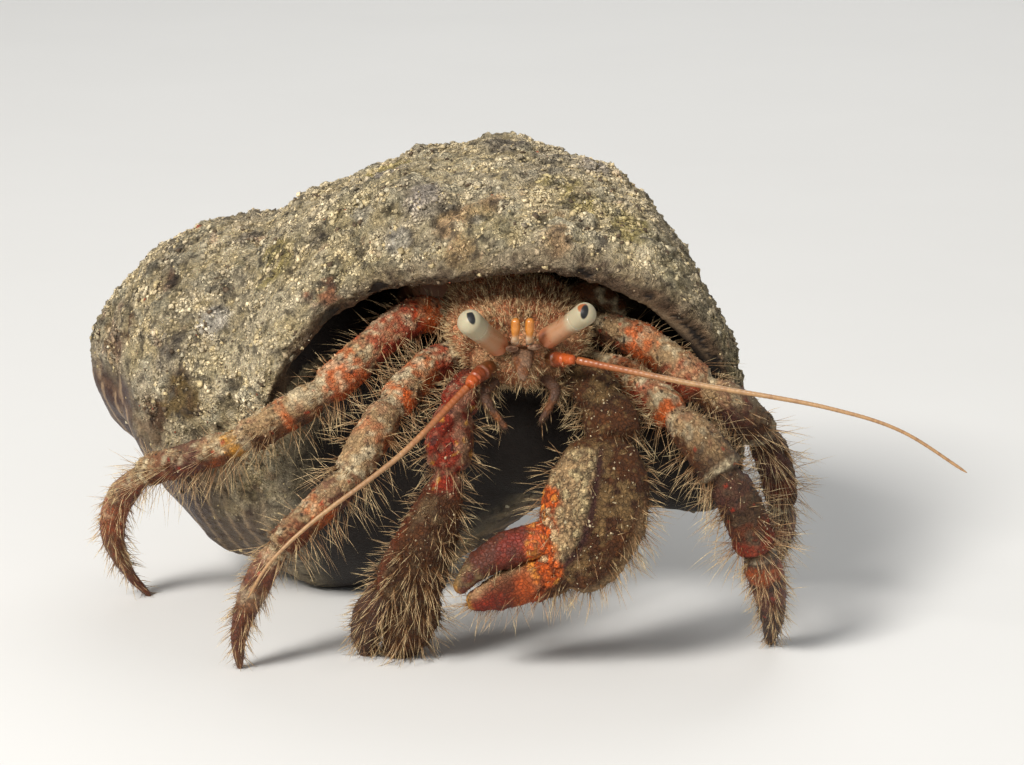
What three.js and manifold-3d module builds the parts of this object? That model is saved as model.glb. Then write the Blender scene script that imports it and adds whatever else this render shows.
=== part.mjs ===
// A hairy hermit crab, life size, standing in the knobbly sea-snail shell that it wears.
// Millimetres, +Z up. The crab faces -Y, so its own right side is towards -X.
// It stands still: it has no joints, and rests on the floor at z = 0.
import * as THREE from 'three';
import { mergeVertices } from 'three/addons/utils/BufferGeometryUtils.js';
import Module from 'manifold-3d';

const wasm = await Module();
wasm.setup();

// ---------------------------------------------------------------- driving dimensions
const GAP = 0.3; // clearance between neighbouring solids
const TURN = 2 * Math.PI;
const DEG = Math.PI / 180;

// The shell is a spiral about an axis from its apex to its front end, the siphonal end.
const APEX = new THREE.Vector3(-48.5, 34, 27);
const SIPHON = new THREE.Vector3(25.6, 9, 16.4);
const WHORL_GROWTH = 1.88; // each whorl is this much larger than the one before it
const APEX_OFFSET = 16; // the spiral would start this far behind the worn apex
const LIP_ANGLE = 52 * DEG; // where the outer lip stands, forward of straight up
const LIP_CURL = { reach: 35 * DEG, depth: 0.1 }; // the lip turns inwards over this arc
// Radius of the pillar inside the coil, along the axis from the apex.
const COLUMELLA = [[0, 1.5], [10, 5], [45, 8], [62, 6.5], [78, 4.5]];
const APEX_ROUND = 8; // length of the blunt, worn apex
const SIPHON_ROUND = 4; // length of the rounded front end
const SHELL_COLUMNS = 57;
const SHELL_ROWS = 27;
const END_CROWDING = 0.06; // share of a half turn that the spacing of the rings leaves out
const POLE_RADIUS = 0.4; // radius of the rings at the very ends
const WHORLS = 7;

// Radius of the last whorl at the lip, by distance from the spiral's start.
const WHORL_PROFILE = [
  [38.5, 16.5], [41, 20.5], [44.5, 24], [48, 26.5], [52, 28.5], [58, 31.5], [64, 33], [70, 34],
  [76, 34.2], [82, 33.4], [88, 31], [93, 26.5], [97, 21.5], [102, 15.5], [109, 9],
];
// How far the lip stands forward of LIP_ANGLE, in degrees, along the axis from the apex.
const LIP_LINE = [
  [18, 60], [25, 54], [29, 40], [32, 16], [35, 2], [40, -6], [46, -8], [54, -12], [62, -18],
  [70, -23], [76, -27], [80, -27],
];
const KNOB_ROWS = [
  { at: 57, breadth: 5, height: 1.9, phase: -27 * DEG },
  { at: 74, breadth: 5.5, height: 1.7, phase: -19 * DEG },
];
const KNOBS_PER_WHORL = 8;
/** Lone knobs and worn hollows: along the axis, degrees round it, breadth, height. */
const SWELLINGS = [
  [17.5, -58, 6.5, 1.8], [43.6, -62, 4, 1.9], [51.4, -59, 2.6, -0.8], [35, -62, 4, 0.8],
  [59, -60, 4, 0.9], [43.4, -24, 2.8, 0.9], [7, 87, 5, -1], [5.4, 37, 4, -0.9],
];

// The hollow that the crab lives in, measured like WHORL_PROFILE.
const HOLLOW = {
  middle: 69, // middle of the mouth
  reach: 26, // half its length along the axis
  wall: 2.6, // thickness of the shell's wall at the lip
  floor: 0.9, // how far it stays off the whorl inside
  least: 0.3, // half its depth where the walls come together
  start: 0.12, // its width at its inner end, as a share of a half turn of a sine
  widening: 2.2, // how soon it reaches its full width from there
  from: 50 * DEG,
  to: -215 * DEG,
};

// ---------------------------------------------------------------- helpers
const point = ([x, y, z]) => new THREE.Vector3(x, y, z);

/** Straight-line reading of a table of [place, value] pairs. */
function read(table, place) {
  if (place <= table[0][0]) {
    return table[0][1];
  }
  for (let i = 1; i < table.length; i += 1) {
    const [x1, y1] = table[i];
    if (place <= x1) {
      const [x0, y0] = table[i - 1];
      return y0 + ((y1 - y0) * (place - x0)) / (x1 - x0);
    }
  }
  return table[table.length - 1][1];
}

/** Keeps only positions, joins shared corners and turns the faces outwards. */
function closed(geometry) {
  geometry.deleteAttribute('normal');
  geometry.deleteAttribute('uv');
  const body = mergeVertices(geometry, 1e-4);
  const at = body.attributes.position;
  const index = body.index.array;
  const [a, b, c] = [new THREE.Vector3(), new THREE.Vector3(), new THREE.Vector3()];
  let volume = 0;
  for (let i = 0; i < index.length; i += 3) {
    a.fromBufferAttribute(at, index[i]);
    b.fromBufferAttribute(at, index[i + 1]);
    c.fromBufferAttribute(at, index[i + 2]);
    volume += a.dot(b.cross(c));
  }
  if (volume < 0) {
    for (let i = 0; i < index.length; i += 3) {
      [index[i], index[i + 1]] = [index[i + 1], index[i]];
    }
  }
  return body;
}

/** Bends a unit cylinder: place(column, row, onAxis) gives each corner's new position. */
function bentCylinder(columns, rows, place) {
  const geometry = new THREE.CylinderGeometry(1, 1, 1, columns, rows);
  const at = geometry.attributes.position;
  for (let i = 0; i < at.count; i += 1) {
    const [x, y, z] = [at.getX(i), at.getY(i), at.getZ(i)];
    const angle = Math.atan2(x, z);
    const column = Math.round((angle / TURN) * columns + columns) % columns;
    const row = Math.round((y + 0.5) * rows);
    const to = place(column, row, Math.hypot(x, z) < 0.5);
    at.setXYZ(i, to.x, to.y, to.z);
  }
  return closed(geometry);
}

/** The part of a piece under the floor is pressed flat onto it. */
function restOnFloor(geometry) {
  const at = geometry.attributes.position;
  for (let i = 0; i < at.count; i += 1) {
    at.setZ(i, Math.max(at.getZ(i), 0));
  }
  return geometry;
}

const solid = (geometry) => new wasm.Manifold(new wasm.Mesh({
  numProp: 3,
  vertProperties: new Float32Array(geometry.attributes.position.array),
  triVerts: new Uint32Array(geometry.index.array),
}));

function fromSolid(manifold) {
  const mesh = manifold.getMesh();
  const geometry = new THREE.BufferGeometry();
  geometry.setAttribute('position', new THREE.BufferAttribute(mesh.vertProperties, 3));
  geometry.setIndex(new THREE.BufferAttribute(mesh.triVerts, 1));
  return geometry;
}

/** The main lump of a solid, without any crumbs that a cut has left beside it. */
const largest = (manifold) => manifold.decompose()
  .reduce((best, lump) => (lump.volume() > best.volume() ? lump : best));

/** What is left of a piece when its neighbours, already grown by the gap, are cut out. */
function cutBy(geometry, neighbours) {
  let rest = solid(geometry);
  for (const neighbour of neighbours) {
    rest = rest.subtract(solid(neighbour));
  }
  return fromSolid(largest(rest));
}

const joined = (one, other) => fromSolid(solid(one).add(solid(other)));

// ---------------------------------------------------------------- limbs
const SHOULDER = 0.12; // where the rounding of an end begins, as a share of the piece

/**
 * A limb is a smooth curve through stations [x, y, z, half width, half height]. Its width
 * lies along `side`, a direction square to the plane that the limb bends in.
 */
class Limb {
  constructor(stations, side) {
    this.stations = stations;
    this.side = point(side).normalize();
    this.curve = new THREE.CatmullRomCurve3(stations.map(point), false, 'centripetal');
  }

  /** Half width (3) or half height (4) at a place counted in stations. */
  radius(place, which) {
    const first = Math.min(Math.floor(place), this.stations.length - 2);
    const share = place - first;
    return THREE.MathUtils.lerp(this.stations[first][which], this.stations[first + 1][which], share);
  }

  tangent(place) {
    return this.curve.getTangent(place / (this.stations.length - 1));
  }

  at(place) {
    return this.curve.getPoint(place / (this.stations.length - 1));
  }

  /**
   * The closed solid between two stations. `grow` makes it larger all round, and `ends` are
   * the sizes of its first and last rings. Each end stays half a gap back from the joint.
   */
  piece(from, to, { sides = 8, rows = 5, grow = 0, ends = [0.8, 0.8] } = {}) {
    const places = [0, SHOULDER];
    for (let i = 1; i < rows - 2; i += 1) {
      places.push(THREE.MathUtils.lerp(SHOULDER, 1 - SHOULDER, i / (rows - 2)));
    }
    places.push(1 - SHOULDER, 1);
    return bentCylinder(sides, rows, (column, row, onAxis) => {
      const place = THREE.MathUtils.lerp(from, to, places[row]);
      const centre = this.at(place);
      const along = this.tangent(place);
      let size = 1;
      if (row === 0) {
        centre.addScaledVector(along, GAP / 2 - grow);
        size = ends[0];
      } else if (row === rows) {
        centre.addScaledVector(along, grow - GAP / 2);
        size = ends[1];
      }
      if (onAxis) {
        return centre;
      }
      const across = this.side.clone().addScaledVector(along, -this.side.dot(along)).normalize();
      const upward = across.clone().cross(along);
      const angle = (column / sides) * TURN;
      const width = this.radius(place, 3) * size + grow;
      const height = this.radius(place, 4) * size + grow;
      return centre
        .addScaledVector(across, Math.sin(angle) * width)
        .addScaledVector(upward, Math.cos(angle) * height);
    });
  }
}

// ---------------------------------------------------------------- the part
const model = new THREE.Group();

function add(name, geometry, color, roughness = 0.85) {
  geometry.computeVertexNormals();
  const material = new THREE.MeshStandardMaterial({ color, roughness, metalness: 0 });
  const mesh = new THREE.Mesh(geometry, material);
  mesh.name = name;
  model.add(mesh);
}

// ---------------------------------------------------------------- shell
const shellLength = APEX.distanceTo(SIPHON);
const axis = SIPHON.clone().sub(APEX).normalize();
const shellUp = new THREE.Vector3(0, 0, 1);
shellUp.addScaledVector(axis, -shellUp.dot(axis)).normalize();
const shellForward = axis.clone().cross(shellUp);
const growth = Math.log(WHORL_GROWTH) / TURN;

const onShell = (along, radius, angle) => APEX.clone()
  .addScaledVector(axis, along)
  .addScaledVector(shellUp, radius * Math.cos(LIP_ANGLE + angle))
  .addScaledVector(shellForward, radius * Math.sin(LIP_ANGLE + angle));

const lipAngle = (along) => read(LIP_LINE, along) * DEG;

/** Height of the blunt knobs that stand in rows round each whorl. */
function knobs(station, angle) {
  let height = 0;
  for (const row of KNOB_ROWS) {
    const off = (station - row.at) / row.breadth;
    const wave = 0.5 + 0.5 * Math.cos(KNOBS_PER_WHORL * (angle - row.phase));
    height += row.height * Math.exp(-off * off) * wave * wave;
  }
  return height;
}

/** Radius of the shell's outside, from whorl `first` inwards; whorl 0 ends at the lip. */
function shellRadius(along, angle, first = 0) {
  let radius = read(COLUMELLA, along);
  for (let whorl = first; whorl < WHORLS; whorl += 1) {
    const scale = Math.exp(growth * (angle - TURN * whorl));
    const station = (along + APEX_OFFSET) / scale;
    const [start, end] = [WHORL_PROFILE[0][0], WHORL_PROFILE[WHORL_PROFILE.length - 1][0]];
    if (station >= start && station <= end) {
      const reach = read(WHORL_PROFILE, station) + knobs(station, angle);
      radius = Math.max(radius, reach * scale);
    }
  }
  if (first === 0) radius += swelling(along, angle, radius);
  if (along < APEX_ROUND) {
    radius *= Math.sqrt(Math.max(0, 1 - (1 - along / APEX_ROUND) ** 2));
  }
  const left = shellLength - along;
  if (left < SIPHON_ROUND) {
    radius *= Math.sqrt(Math.max(0, 1 - (1 - left / SIPHON_ROUND) ** 2));
  }
  if (first === 0) {
    const late = (angle - lipAngle(along) + LIP_CURL.reach) / LIP_CURL.reach;
    radius *= 1 - LIP_CURL.depth * THREE.MathUtils.clamp(late, 0, 1) ** 2;
  }
  return radius;
}

/** How far the lone knobs and hollows move the wall out at a place. */
function swelling(along, angle, radius) {
  let height = 0;
  for (const [at, degrees, breadth, rise] of SWELLINGS) {
    const turned = angle - THREE.MathUtils.degToRad(degrees);
    const round = radius * Math.atan2(Math.sin(turned), Math.cos(turned));
    height += rise * Math.exp(-((along - at) ** 2 + round ** 2) / breadth ** 2);
  }
  return height;
}

/** Rings lie closer together towards the two ends of the axis, which are rounder. */
function ringPlace(row) {
  const turned = Math.PI * THREE.MathUtils.lerp(END_CROWDING, 1 - END_CROWDING, row / SHELL_ROWS);
  const full = Math.cos(Math.PI * END_CROWDING);
  return shellLength * 0.5 * (1 - Math.cos(turned) / full);
}

/** Each ring runs once round from the lip back to the wall under it. */
const shellOutside = bentCylinder(SHELL_COLUMNS, SHELL_ROWS, (column, row, onAxis) => {
  const along = ringPlace(row);
  if (onAxis) {
    return onShell(along, 0, 0);
  }
  const round = column / (SHELL_COLUMNS - 1);
  const angle = lipAngle(along) * (1 - 2 * round) ** 2 - TURN * round;
  return onShell(along, Math.max(shellRadius(along, angle), POLE_RADIUS), angle);
});

/** Makes a round section squarer. */
const squared = (value) => Math.sign(value) * Math.abs(value) ** 0.75;

/** The coiled hollow: its walls follow the whorl outside it and the whorl inside it. */
function hollow(columns, rows) {
  return bentCylinder(columns, rows, (column, row, onAxis) => {
    const share = row / rows;
    const angle = THREE.MathUtils.lerp(HOLLOW.to, HOLLOW.from, share);
    const scale = Math.exp(growth * angle);
    const width = onAxis ? 0 : Math.sin(Math.min(HOLLOW.start + share * HOLLOW.widening, 0.5) * Math.PI);
    const turn = (column / columns) * TURN;
    const station = HOLLOW.middle + HOLLOW.reach * width * squared(Math.cos(turn));
    const along = Math.min(station * scale - APEX_OFFSET, shellLength - HOLLOW.wall);
    const held = Math.min(angle, lipAngle(along));
    const outer = shellRadius(along, held) * Math.exp(growth * (angle - held)) - HOLLOW.wall * scale;
    const inner = shellRadius(along, angle, 1) + HOLLOW.floor;
    const half = Math.max((outer - inner) / 2, HOLLOW.least) * width * squared(Math.sin(turn));
    return onShell(along, (outer + inner) / 2 + half, angle);
  });
}

add('shell', cutBy(restOnFloor(shellOutside), [hollow(14, 12)]), 0xa89a7c, 0.95);


// ---------------------------------------------------------------- trunk
// The head end, with its hairy shield, stands in the mouth of the shell; the soft
// abdomen follows the coil of the hollow.
const TRUNK = new Limb([
  [1.2, -3.2, 32.6, 4.6, 2.7],
  [1.1, -0.5, 32.9, 6.6, 3.9],
  [0.8, 4, 34, 7.6, 4.7],
  [-0.6, 9, 35.6, 7.2, 4.8],
  [-2.6, 14, 36.6, 6.2, 4.6],
], [1, 0, 0]);
const ABDOMEN_ANGLES = [-62, -85, -110, -135, -160, -185]; // where its stations lie in the coil
const ABDOMEN_WIDTH = [6, 6.2, 5.6, 4.8, 3.9, 2.6];
const ABDOMEN_RADIUS = 17; // distance of its middle from the shell's axis, at the lip's scale
const ABDOMEN_STATION = 65;

// ---------------------------------------------------------------- head
// Stations are [x, y, z, half width, half height].
const EYES = {
  right: [[-1.2, -3.6, 34.2, 1.25, 1.25], [-3, -6, 36.3, 1.2, 1.2], [-5, -8.7, 38.7, 1.45, 1.45]],
  left: [[3.4, -3.6, 35, 1.2, 1.2], [5.9, -5.6, 37.1, 1.1, 1.1], [8.4, -7.8, 39.4, 1.3, 1.3]],
};
const CORNEA_FROM = 1.35; // station where the stalk ends and the cornea begins
const ANTENNULES = {
  right: [[0.3, -4.3, 35, 0.5, 0.5], [0.35, -6.3, 36, 0.46, 0.46], [0.4, -6.9, 38.2, 0.4, 0.4]],
  left: [[1.9, -4.3, 35, 0.5, 0.5], [1.85, -6.3, 36, 0.46, 0.46], [1.9, -6.9, 38.2, 0.4, 0.4]],
};
const ANTENNAE = {
  right: {
    base: [[-2.1, -3, 32, 1, 1], [-3.6, -5.6, 31.7, 0.9, 0.9], [-4.6, -7.4, 31, 0.6, 0.6]],
    whip: [
      [-4.7, -7.5, 30.9, 0.42, 0.42], [-11.7, -13, 24.9, 0.34, 0.34], [-21.4, -16.5, 18.1, 0.28, 0.28],
      [-25.6, -17.4, 14, 0.26, 0.26], [-27.6, -17.4, 10.6, 0.25, 0.25],
    ],
  },
  left: {
    base: [[4, -3, 32.8, 1, 1], [5.1, -5.2, 33.3, 0.85, 0.85], [6.6, -7.2, 33.8, 0.55, 0.55]],
    whip: [
      [6.8, -7.4, 33.8, 0.42, 0.42], [17.7, -10.4, 32.2, 0.34, 0.34], [33.1, -14.4, 30.3, 0.28, 0.28],
      [40.2, -16.2, 28.4, 0.26, 0.26], [47.1, -17.8, 24.3, 0.25, 0.25],
    ],
  },
};
// The joined base of the antennules, a blunt beak between the eyes and the mouth.
const ANTENNULE_BASE = [[1.1, -3.6, 34, 1.3, 0.8], [1.15, -6, 33.2, 1.1, 0.8], [1.2, -7.8, 31.6, 0.4, 0.4]];
const MAXILLIPEDS = {
  right: [[-1.7, -3.2, 30.6, 0.8, 0.7], [-2.9, -5.6, 29.5, 0.65, 0.6], [-0.6, -6.4, 25.9, 0.4, 0.4]],
  left: [[3.4, -3.2, 30.8, 0.8, 0.7], [4.6, -5.6, 29.9, 0.65, 0.6], [3, -6.4, 26.6, 0.4, 0.4]],
};

// ---------------------------------------------------------------- legs
// Each walking leg has four pieces: merus, carpus, propodus and the curved dactyl, whose
// tip stands on the floor. `joints` are the stations where one piece meets the next.
const LEG_PIECES = ['merus', 'carpus', 'propodus', 'dactyl'];
const LEGS = {
  front_right: {
    side: [0.45, -0.6, -0.65],
    joints: [0, 2, 4, 6, 9],
    stations: [
      [-5.4, 4.6, 31.6, 1.9, 2.3], [-9, 2.2, 30.6, 2.1, 2.5], [-12.8, -2.6, 27.6, 2.1, 2.4],
      [-15.2, -6, 24.6, 2.3, 2.6], [-17.4, -8.2, 21.1, 2.1, 2.3], [-21.4, -9.4, 17.2, 2, 2.3],
      [-24.9, -10, 13.7, 1.8, 2], [-27.6, -10.4, 9, 1.5, 1.8], [-29.2, -9.9, 4, 0.9, 1.1],
      [-29.3, -8.8, -0.1, 0.4, 0.4],
    ],
  },
  rear_right: {
    side: [0.25, -0.9, -0.2],
    joints: [0, 2, 4, 6, 10],
    stations: [
      [-6.6, 9.5, 34.4, 1.8, 2.1], [-10.6, 7.2, 35.2, 2.1, 2.3], [-20.6, 2.4, 27.9, 2, 2.3],
      [-25, 1.8, 25.2, 2, 2.2], [-29.5, 2.5, 22.4, 1.8, 2.1], [-35.6, 5.6, 19.4, 1.9, 2.1],
      [-41.2, 10, 16.4, 1.7, 1.9], [-44.2, 12, 12.8, 1.5, 1.8], [-45.2, 13.8, 8.2, 1.3, 1.5],
      [-43.8, 16, 3.2, 0.7, 0.8], [-41.5, 17.2, -0.1, 0.4, 0.4],
    ],
  },
  front_left: {
    side: [-0.5, -0.6, -0.6],
    joints: [0, 2, 4, 6, 9],
    stations: [
      [8, 5.4, 30.2, 1.9, 2.2], [12.8, 1.4, 29.6, 2.1, 2.4], [17.4, -4, 26.8, 2.1, 2.4],
      [20.4, -6.8, 24.2, 2.5, 2.8], [22.6, -8.4, 21.4, 2.4, 2.6], [24.6, -9, 17.4, 2.5, 2.7],
      [26.2, -8.6, 13.2, 2.3, 2.4], [27.5, -6.6, 9, 2, 2.1], [28.3, -3.4, 4, 1.4, 1.5],
      [28.3, -0.2, -0.1, 0.5, 0.5],
    ],
  },
  rear_left: {
    side: [-0.6, -0.75, -0.3],
    joints: [0, 2, 4, 6, 9],
    stations: [
      [8.4, 9, 33.8, 1.8, 2.1], [13.8, 4.6, 33.1, 2.1, 2.4], [20.8, -0.4, 28.8, 2.2, 2.5],
      [24.4, 0.4, 26.4, 2.4, 2.6], [27.2, 3.6, 22.8, 2.1, 2.3], [29.2, 7.4, 18, 2.1, 2.3],
      [30.2, 11.6, 13, 1.8, 2], [30.6, 15.4, 8.6, 1.5, 1.8], [30.4, 19.4, 3.8, 0.8, 1],
      [29.8, 21.8, -0.1, 0.4, 0.4],
    ],
  },
};

// Small legs of the fourth pair, held against the inside of the shell.
const PROP_LEGS = {
  right: [
    [-6.8, 12, 34.8, 1, 1.1], [-9.4, 12.4, 35, 1.2, 1.3], [-11.2, 14.2, 33, 1.1, 1.2],
    [-10.6, 16, 30.4, 0.5, 0.6],
  ],
  left: [
    [6, 12.6, 36.6, 1, 1.1], [9.4, 13.6, 36.4, 1.2, 1.3], [11.8, 15.4, 34, 1.1, 1.2],
    [11.4, 16.6, 31.6, 0.5, 0.6],
  ],
};

// ---------------------------------------------------------------- claws
const CLAWS = {
  right: {
    side: [1, 0.2, 0],
    arm: [
      [-2.4, 2.6, 29.6, 1.9, 1.9], [-4.4, -1.8, 29.6, 2.2, 2.1], [-5.8, -5, 28, 2.3, 2.1],
      [-6.6, -7.4, 24.8, 2.8, 2.4], [-6.7, -8.4, 21.6, 2.3, 2.1],
    ],
    arm_joints: [0, 2, 4],
    palm: [
      [-6.8, -8.6, 21.2, 1.9, 1.9], [-7.7, -9.2, 18.4, 2.7, 2.4], [-9.2, -9.2, 14.4, 3.5, 2.9],
      [-10.7, -8.6, 10.4, 4, 3], [-11.5, -7.8, 7.2, 3.5, 2.6],
    ],
    fixed: [
      [-10, -8, 9.4, 2.4, 2.1], [-10.4, -6.8, 5.6, 3, 2.3], [-11.3, -5.4, 2.6, 2.8, 2],
      [-12.4, -4.4, -0.1, 1.8, 1.3],
    ],
    moving: [
      [-13.5, -8, 8.6, 1.9, 1.9], [-15.3, -6.6, 5.4, 2.1, 2], [-15.9, -5, 2.4, 1.75, 1.6],
      [-15.7, -3.9, -0.1, 1, 0.9],
    ],
  },
  left: {
    side: [0.95, -0.1, 0.3],
    arm: [
      [4.6, 2.4, 30.6, 2.1, 2.1], [8, -1.6, 30.2, 2.6, 2.4], [9.6, -4.4, 28.6, 2.8, 2.5],
      [10.6, -6.2, 26.6, 3.2, 2.8], [11, -7.8, 24.6, 3, 2.7],
    ],
    arm_joints: [0, 2, 4],
    palm: [
      [9.8, -8.2, 24.4, 4, 2.9], [9.4, -9.8, 21.5, 5.6, 3.7], [8.6, -11.2, 17.8, 6, 4],
      [7.1, -12, 14.2, 5.2, 3.7], [4.6, -12.4, 11.4, 3.4, 2.9],
    ],
    fixed: [
      [6, -12.2, 12.2, 2.6, 2.6], [2.4, -12.8, 11, 2.4, 2.4], [-1.3, -13, 9.8, 2, 2.1],
      [-4.8, -12.8, 8.6, 1.1, 1.15],
    ],
    moving: [
      [3.6, -12.1, 15.6, 2, 2.1], [-0.6, -12.8, 14.5, 2.1, 2.2], [-3.6, -13, 12.7, 1.7, 1.85],
      [-5.9, -13, 9.9, 0.85, 0.85],
    ],
  },
};

// ---------------------------------------------------------------- assembly
const COLORS = {
  shell: 0xa89a7c,
  trunk: 0x8a6a48,
  abdomen: 0xb07a5a,
  eye: 0xd8cfae,
  cornea: 0xd9dcc4,
  antennule: 0xe09a30,
  antenna: 0xc0703c,
  mouth: 0x6a4a30,
  leg: 0xa5865f,
  dactyl: 0x8a5630,
  claw: 0x9a7a52,
  finger: 0x8e3f24,
};

const grownLimbs = []; // what the trunk makes room for

/** Adds one piece of a limb, and keeps a grown copy of it for the trunk to make room for. */
function addPiece(name, limb, from, to, color, options = {}) {
  add(name, restOnFloor(limb.piece(from, to, options)), color);
  grownLimbs.push(limb.piece(from, to, { ...options, grow: GAP }));
}

for (const [corner, leg] of Object.entries(LEGS)) {
  const limb = new Limb(leg.stations, leg.side);
  LEG_PIECES.forEach((piece, i) => {
    const last = i === LEG_PIECES.length - 1;
    const options = { rows: last ? 7 : 6, ends: last ? [0.8, 1] : [0.8, 0.8] };
    const color = last ? COLORS.dactyl : COLORS.leg;
    addPiece(`leg_${corner}_${piece}`, limb, leg.joints[i], leg.joints[i + 1], color, options);
  });
}

for (const [hand, claw] of Object.entries(CLAWS)) {
  const arm = new Limb(claw.arm, claw.side);
  const [start, elbow, wrist] = claw.arm_joints;
  addPiece(`claw_${hand}_merus`, arm, start, elbow, COLORS.claw, { rows: 6 });
  addPiece(`claw_${hand}_carpus`, arm, elbow, wrist, COLORS.claw, { sides: 10, rows: 6 });
  const palm = new Limb(claw.palm, claw.side);
  const fixed = new Limb(claw.fixed, claw.side);
  const moving = new Limb(claw.moving, claw.side);
  const palmEnd = claw.palm.length - 1;
  const fingerEnd = claw.fixed.length - 1;
  const handSolid = joined(
    palm.piece(0, palmEnd, { sides: 12, rows: 8 }),
    fixed.piece(0, fingerEnd, { sides: 8, rows: 7, ends: [0.8, 1] }),
  );
  const room = [
    arm.piece(elbow, wrist, { sides: 10, rows: 6, grow: GAP }),
    moving.piece(0, fingerEnd, { sides: 8, rows: 7, ends: [0.8, 1], grow: GAP }),
  ];
  add(`claw_${hand}_palm`, restOnFloor(cutBy(handSolid, room)), COLORS.claw);
  addPiece(`claw_${hand}_finger`, moving, 0, fingerEnd, COLORS.finger, { rows: 7, ends: [0.8, 1] });
}

for (const [hand, stations] of Object.entries(EYES)) {
  const stalk = new Limb(stations, [1, 0, 0]);
  const tip = stations.length - 1;
  addPiece(`eyestalk_${hand}`, stalk, 0, CORNEA_FROM, COLORS.eye, { ends: [0.9, 0.95] });
  addPiece(`cornea_${hand}`, stalk, CORNEA_FROM, tip, COLORS.cornea, { ends: [0.95, 0.6] });
}

for (const [hand, stations] of Object.entries(ANTENNULES)) {
  const limb = new Limb(stations, [1, 0, 0]);
  addPiece(`antennule_${hand}`, limb, 0, stations.length - 1, COLORS.antennule, { sides: 6 });
}

const beak = new Limb(ANTENNULE_BASE, [1, 0, 0]);
addPiece('antennule_base', beak, 0, ANTENNULE_BASE.length - 1, COLORS.mouth, { sides: 6 });

for (const [hand, antenna] of Object.entries(ANTENNAE)) {
  const base = new Limb(antenna.base, [0, 1, 0.4]);
  const whip = new Limb(antenna.whip, [0, 0, 1]);
  addPiece(`antenna_base_${hand}`, base, 0, antenna.base.length - 1, COLORS.antenna, { sides: 8 });
  addPiece(`antenna_${hand}`, whip, 0, antenna.whip.length - 1, COLORS.antenna, {
    sides: 6, rows: 12, ends: [1, 1],
  });
}

for (const [hand, stations] of Object.entries(MAXILLIPEDS)) {
  const limb = new Limb(stations, [1, 0, 0]);
  addPiece(`maxilliped_${hand}`, limb, 0, stations.length - 1, COLORS.mouth, { sides: 6 });
}

for (const [hand, stations] of Object.entries(PROP_LEGS)) {
  const limb = new Limb(stations, [0, 1, 0.3]);
  addPiece(`leg_fourth_${hand}`, limb, 0, stations.length - 1, COLORS.leg, { sides: 6 });
}

const trunkEnd = TRUNK.stations.length - 1;
const trunk = TRUNK.piece(0, trunkEnd, { sides: 14, rows: 9, ends: [0.75, 0.9] });
add('trunk', cutBy(trunk, grownLimbs), COLORS.trunk);

/** The abdomen curls along the middle of the hollow. */
const abdomen = new Limb(ABDOMEN_ANGLES.map((degrees, i) => {
  const angle = degrees * DEG;
  const scale = Math.exp(growth * angle);
  const along = ABDOMEN_STATION * scale - APEX_OFFSET;
  const middle = onShell(along, ABDOMEN_RADIUS * scale, angle);
  return [middle.x, middle.y, middle.z, ABDOMEN_WIDTH[i], ABDOMEN_WIDTH[i] * 0.85];
}), axis.toArray());
const curled = abdomen.piece(0, ABDOMEN_ANGLES.length - 1, { sides: 10, rows: 9, ends: [0.85, 0.4] });
add('abdomen', curled, COLORS.abdomen);

// The origin is the middle of the part's bounding box, on the floor.
const box = new THREE.Box3().setFromObject(model);
model.position.set(-(box.min.x + box.max.x) / 2, -(box.min.y + box.max.y) / 2, -box.min.z);
const part = new THREE.Group();
part.add(model);

export default part;
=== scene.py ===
"""Dresses the packed hermit crab: skins, sand crust, bristles, eyes, feelers and worn shell.

Lengths in the design are millimetres, measured from the middle of the crab's stance on the
floor, with +Z up. The crab faces -Y, so its own right side is towards -X.
"""

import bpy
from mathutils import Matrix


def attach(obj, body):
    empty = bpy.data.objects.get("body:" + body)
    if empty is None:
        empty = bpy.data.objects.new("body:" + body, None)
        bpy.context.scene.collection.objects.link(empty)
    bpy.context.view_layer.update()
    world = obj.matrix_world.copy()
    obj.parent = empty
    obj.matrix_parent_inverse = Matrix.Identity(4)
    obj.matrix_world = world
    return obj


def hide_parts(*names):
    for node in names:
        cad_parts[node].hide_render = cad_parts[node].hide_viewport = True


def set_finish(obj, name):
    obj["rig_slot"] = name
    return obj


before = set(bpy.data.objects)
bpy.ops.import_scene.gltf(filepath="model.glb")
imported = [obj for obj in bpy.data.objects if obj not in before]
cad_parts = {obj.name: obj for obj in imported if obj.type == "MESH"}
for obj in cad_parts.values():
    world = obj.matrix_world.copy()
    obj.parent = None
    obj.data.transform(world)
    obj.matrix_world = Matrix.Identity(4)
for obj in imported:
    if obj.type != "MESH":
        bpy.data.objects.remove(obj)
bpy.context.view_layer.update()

import itertools
import math

import bpy
import numpy as np
from bpy.props import FloatProperty, FloatVectorProperty, IntProperty, PointerProperty
from mathutils import Vector

bl_info = {
    "name": "Hairy Hermit Crab",
    "version": (1, 0, 0),
    "blender": (4, 5, 0),
    "location": "3D View > Sidebar > Hermit Crab",
    "description": "Builds a life-size hairy hermit crab in its worn sea-snail shell",
    "category": "Object",
}

MM = 0.001
TURN = 2 * math.pi
ACROSS = [1, 0, 0]  # the crab's right to left
ORIGIN = np.array([1.0172, -15.0057, 0.0])  # the design's zero, in the frame, mm

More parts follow.
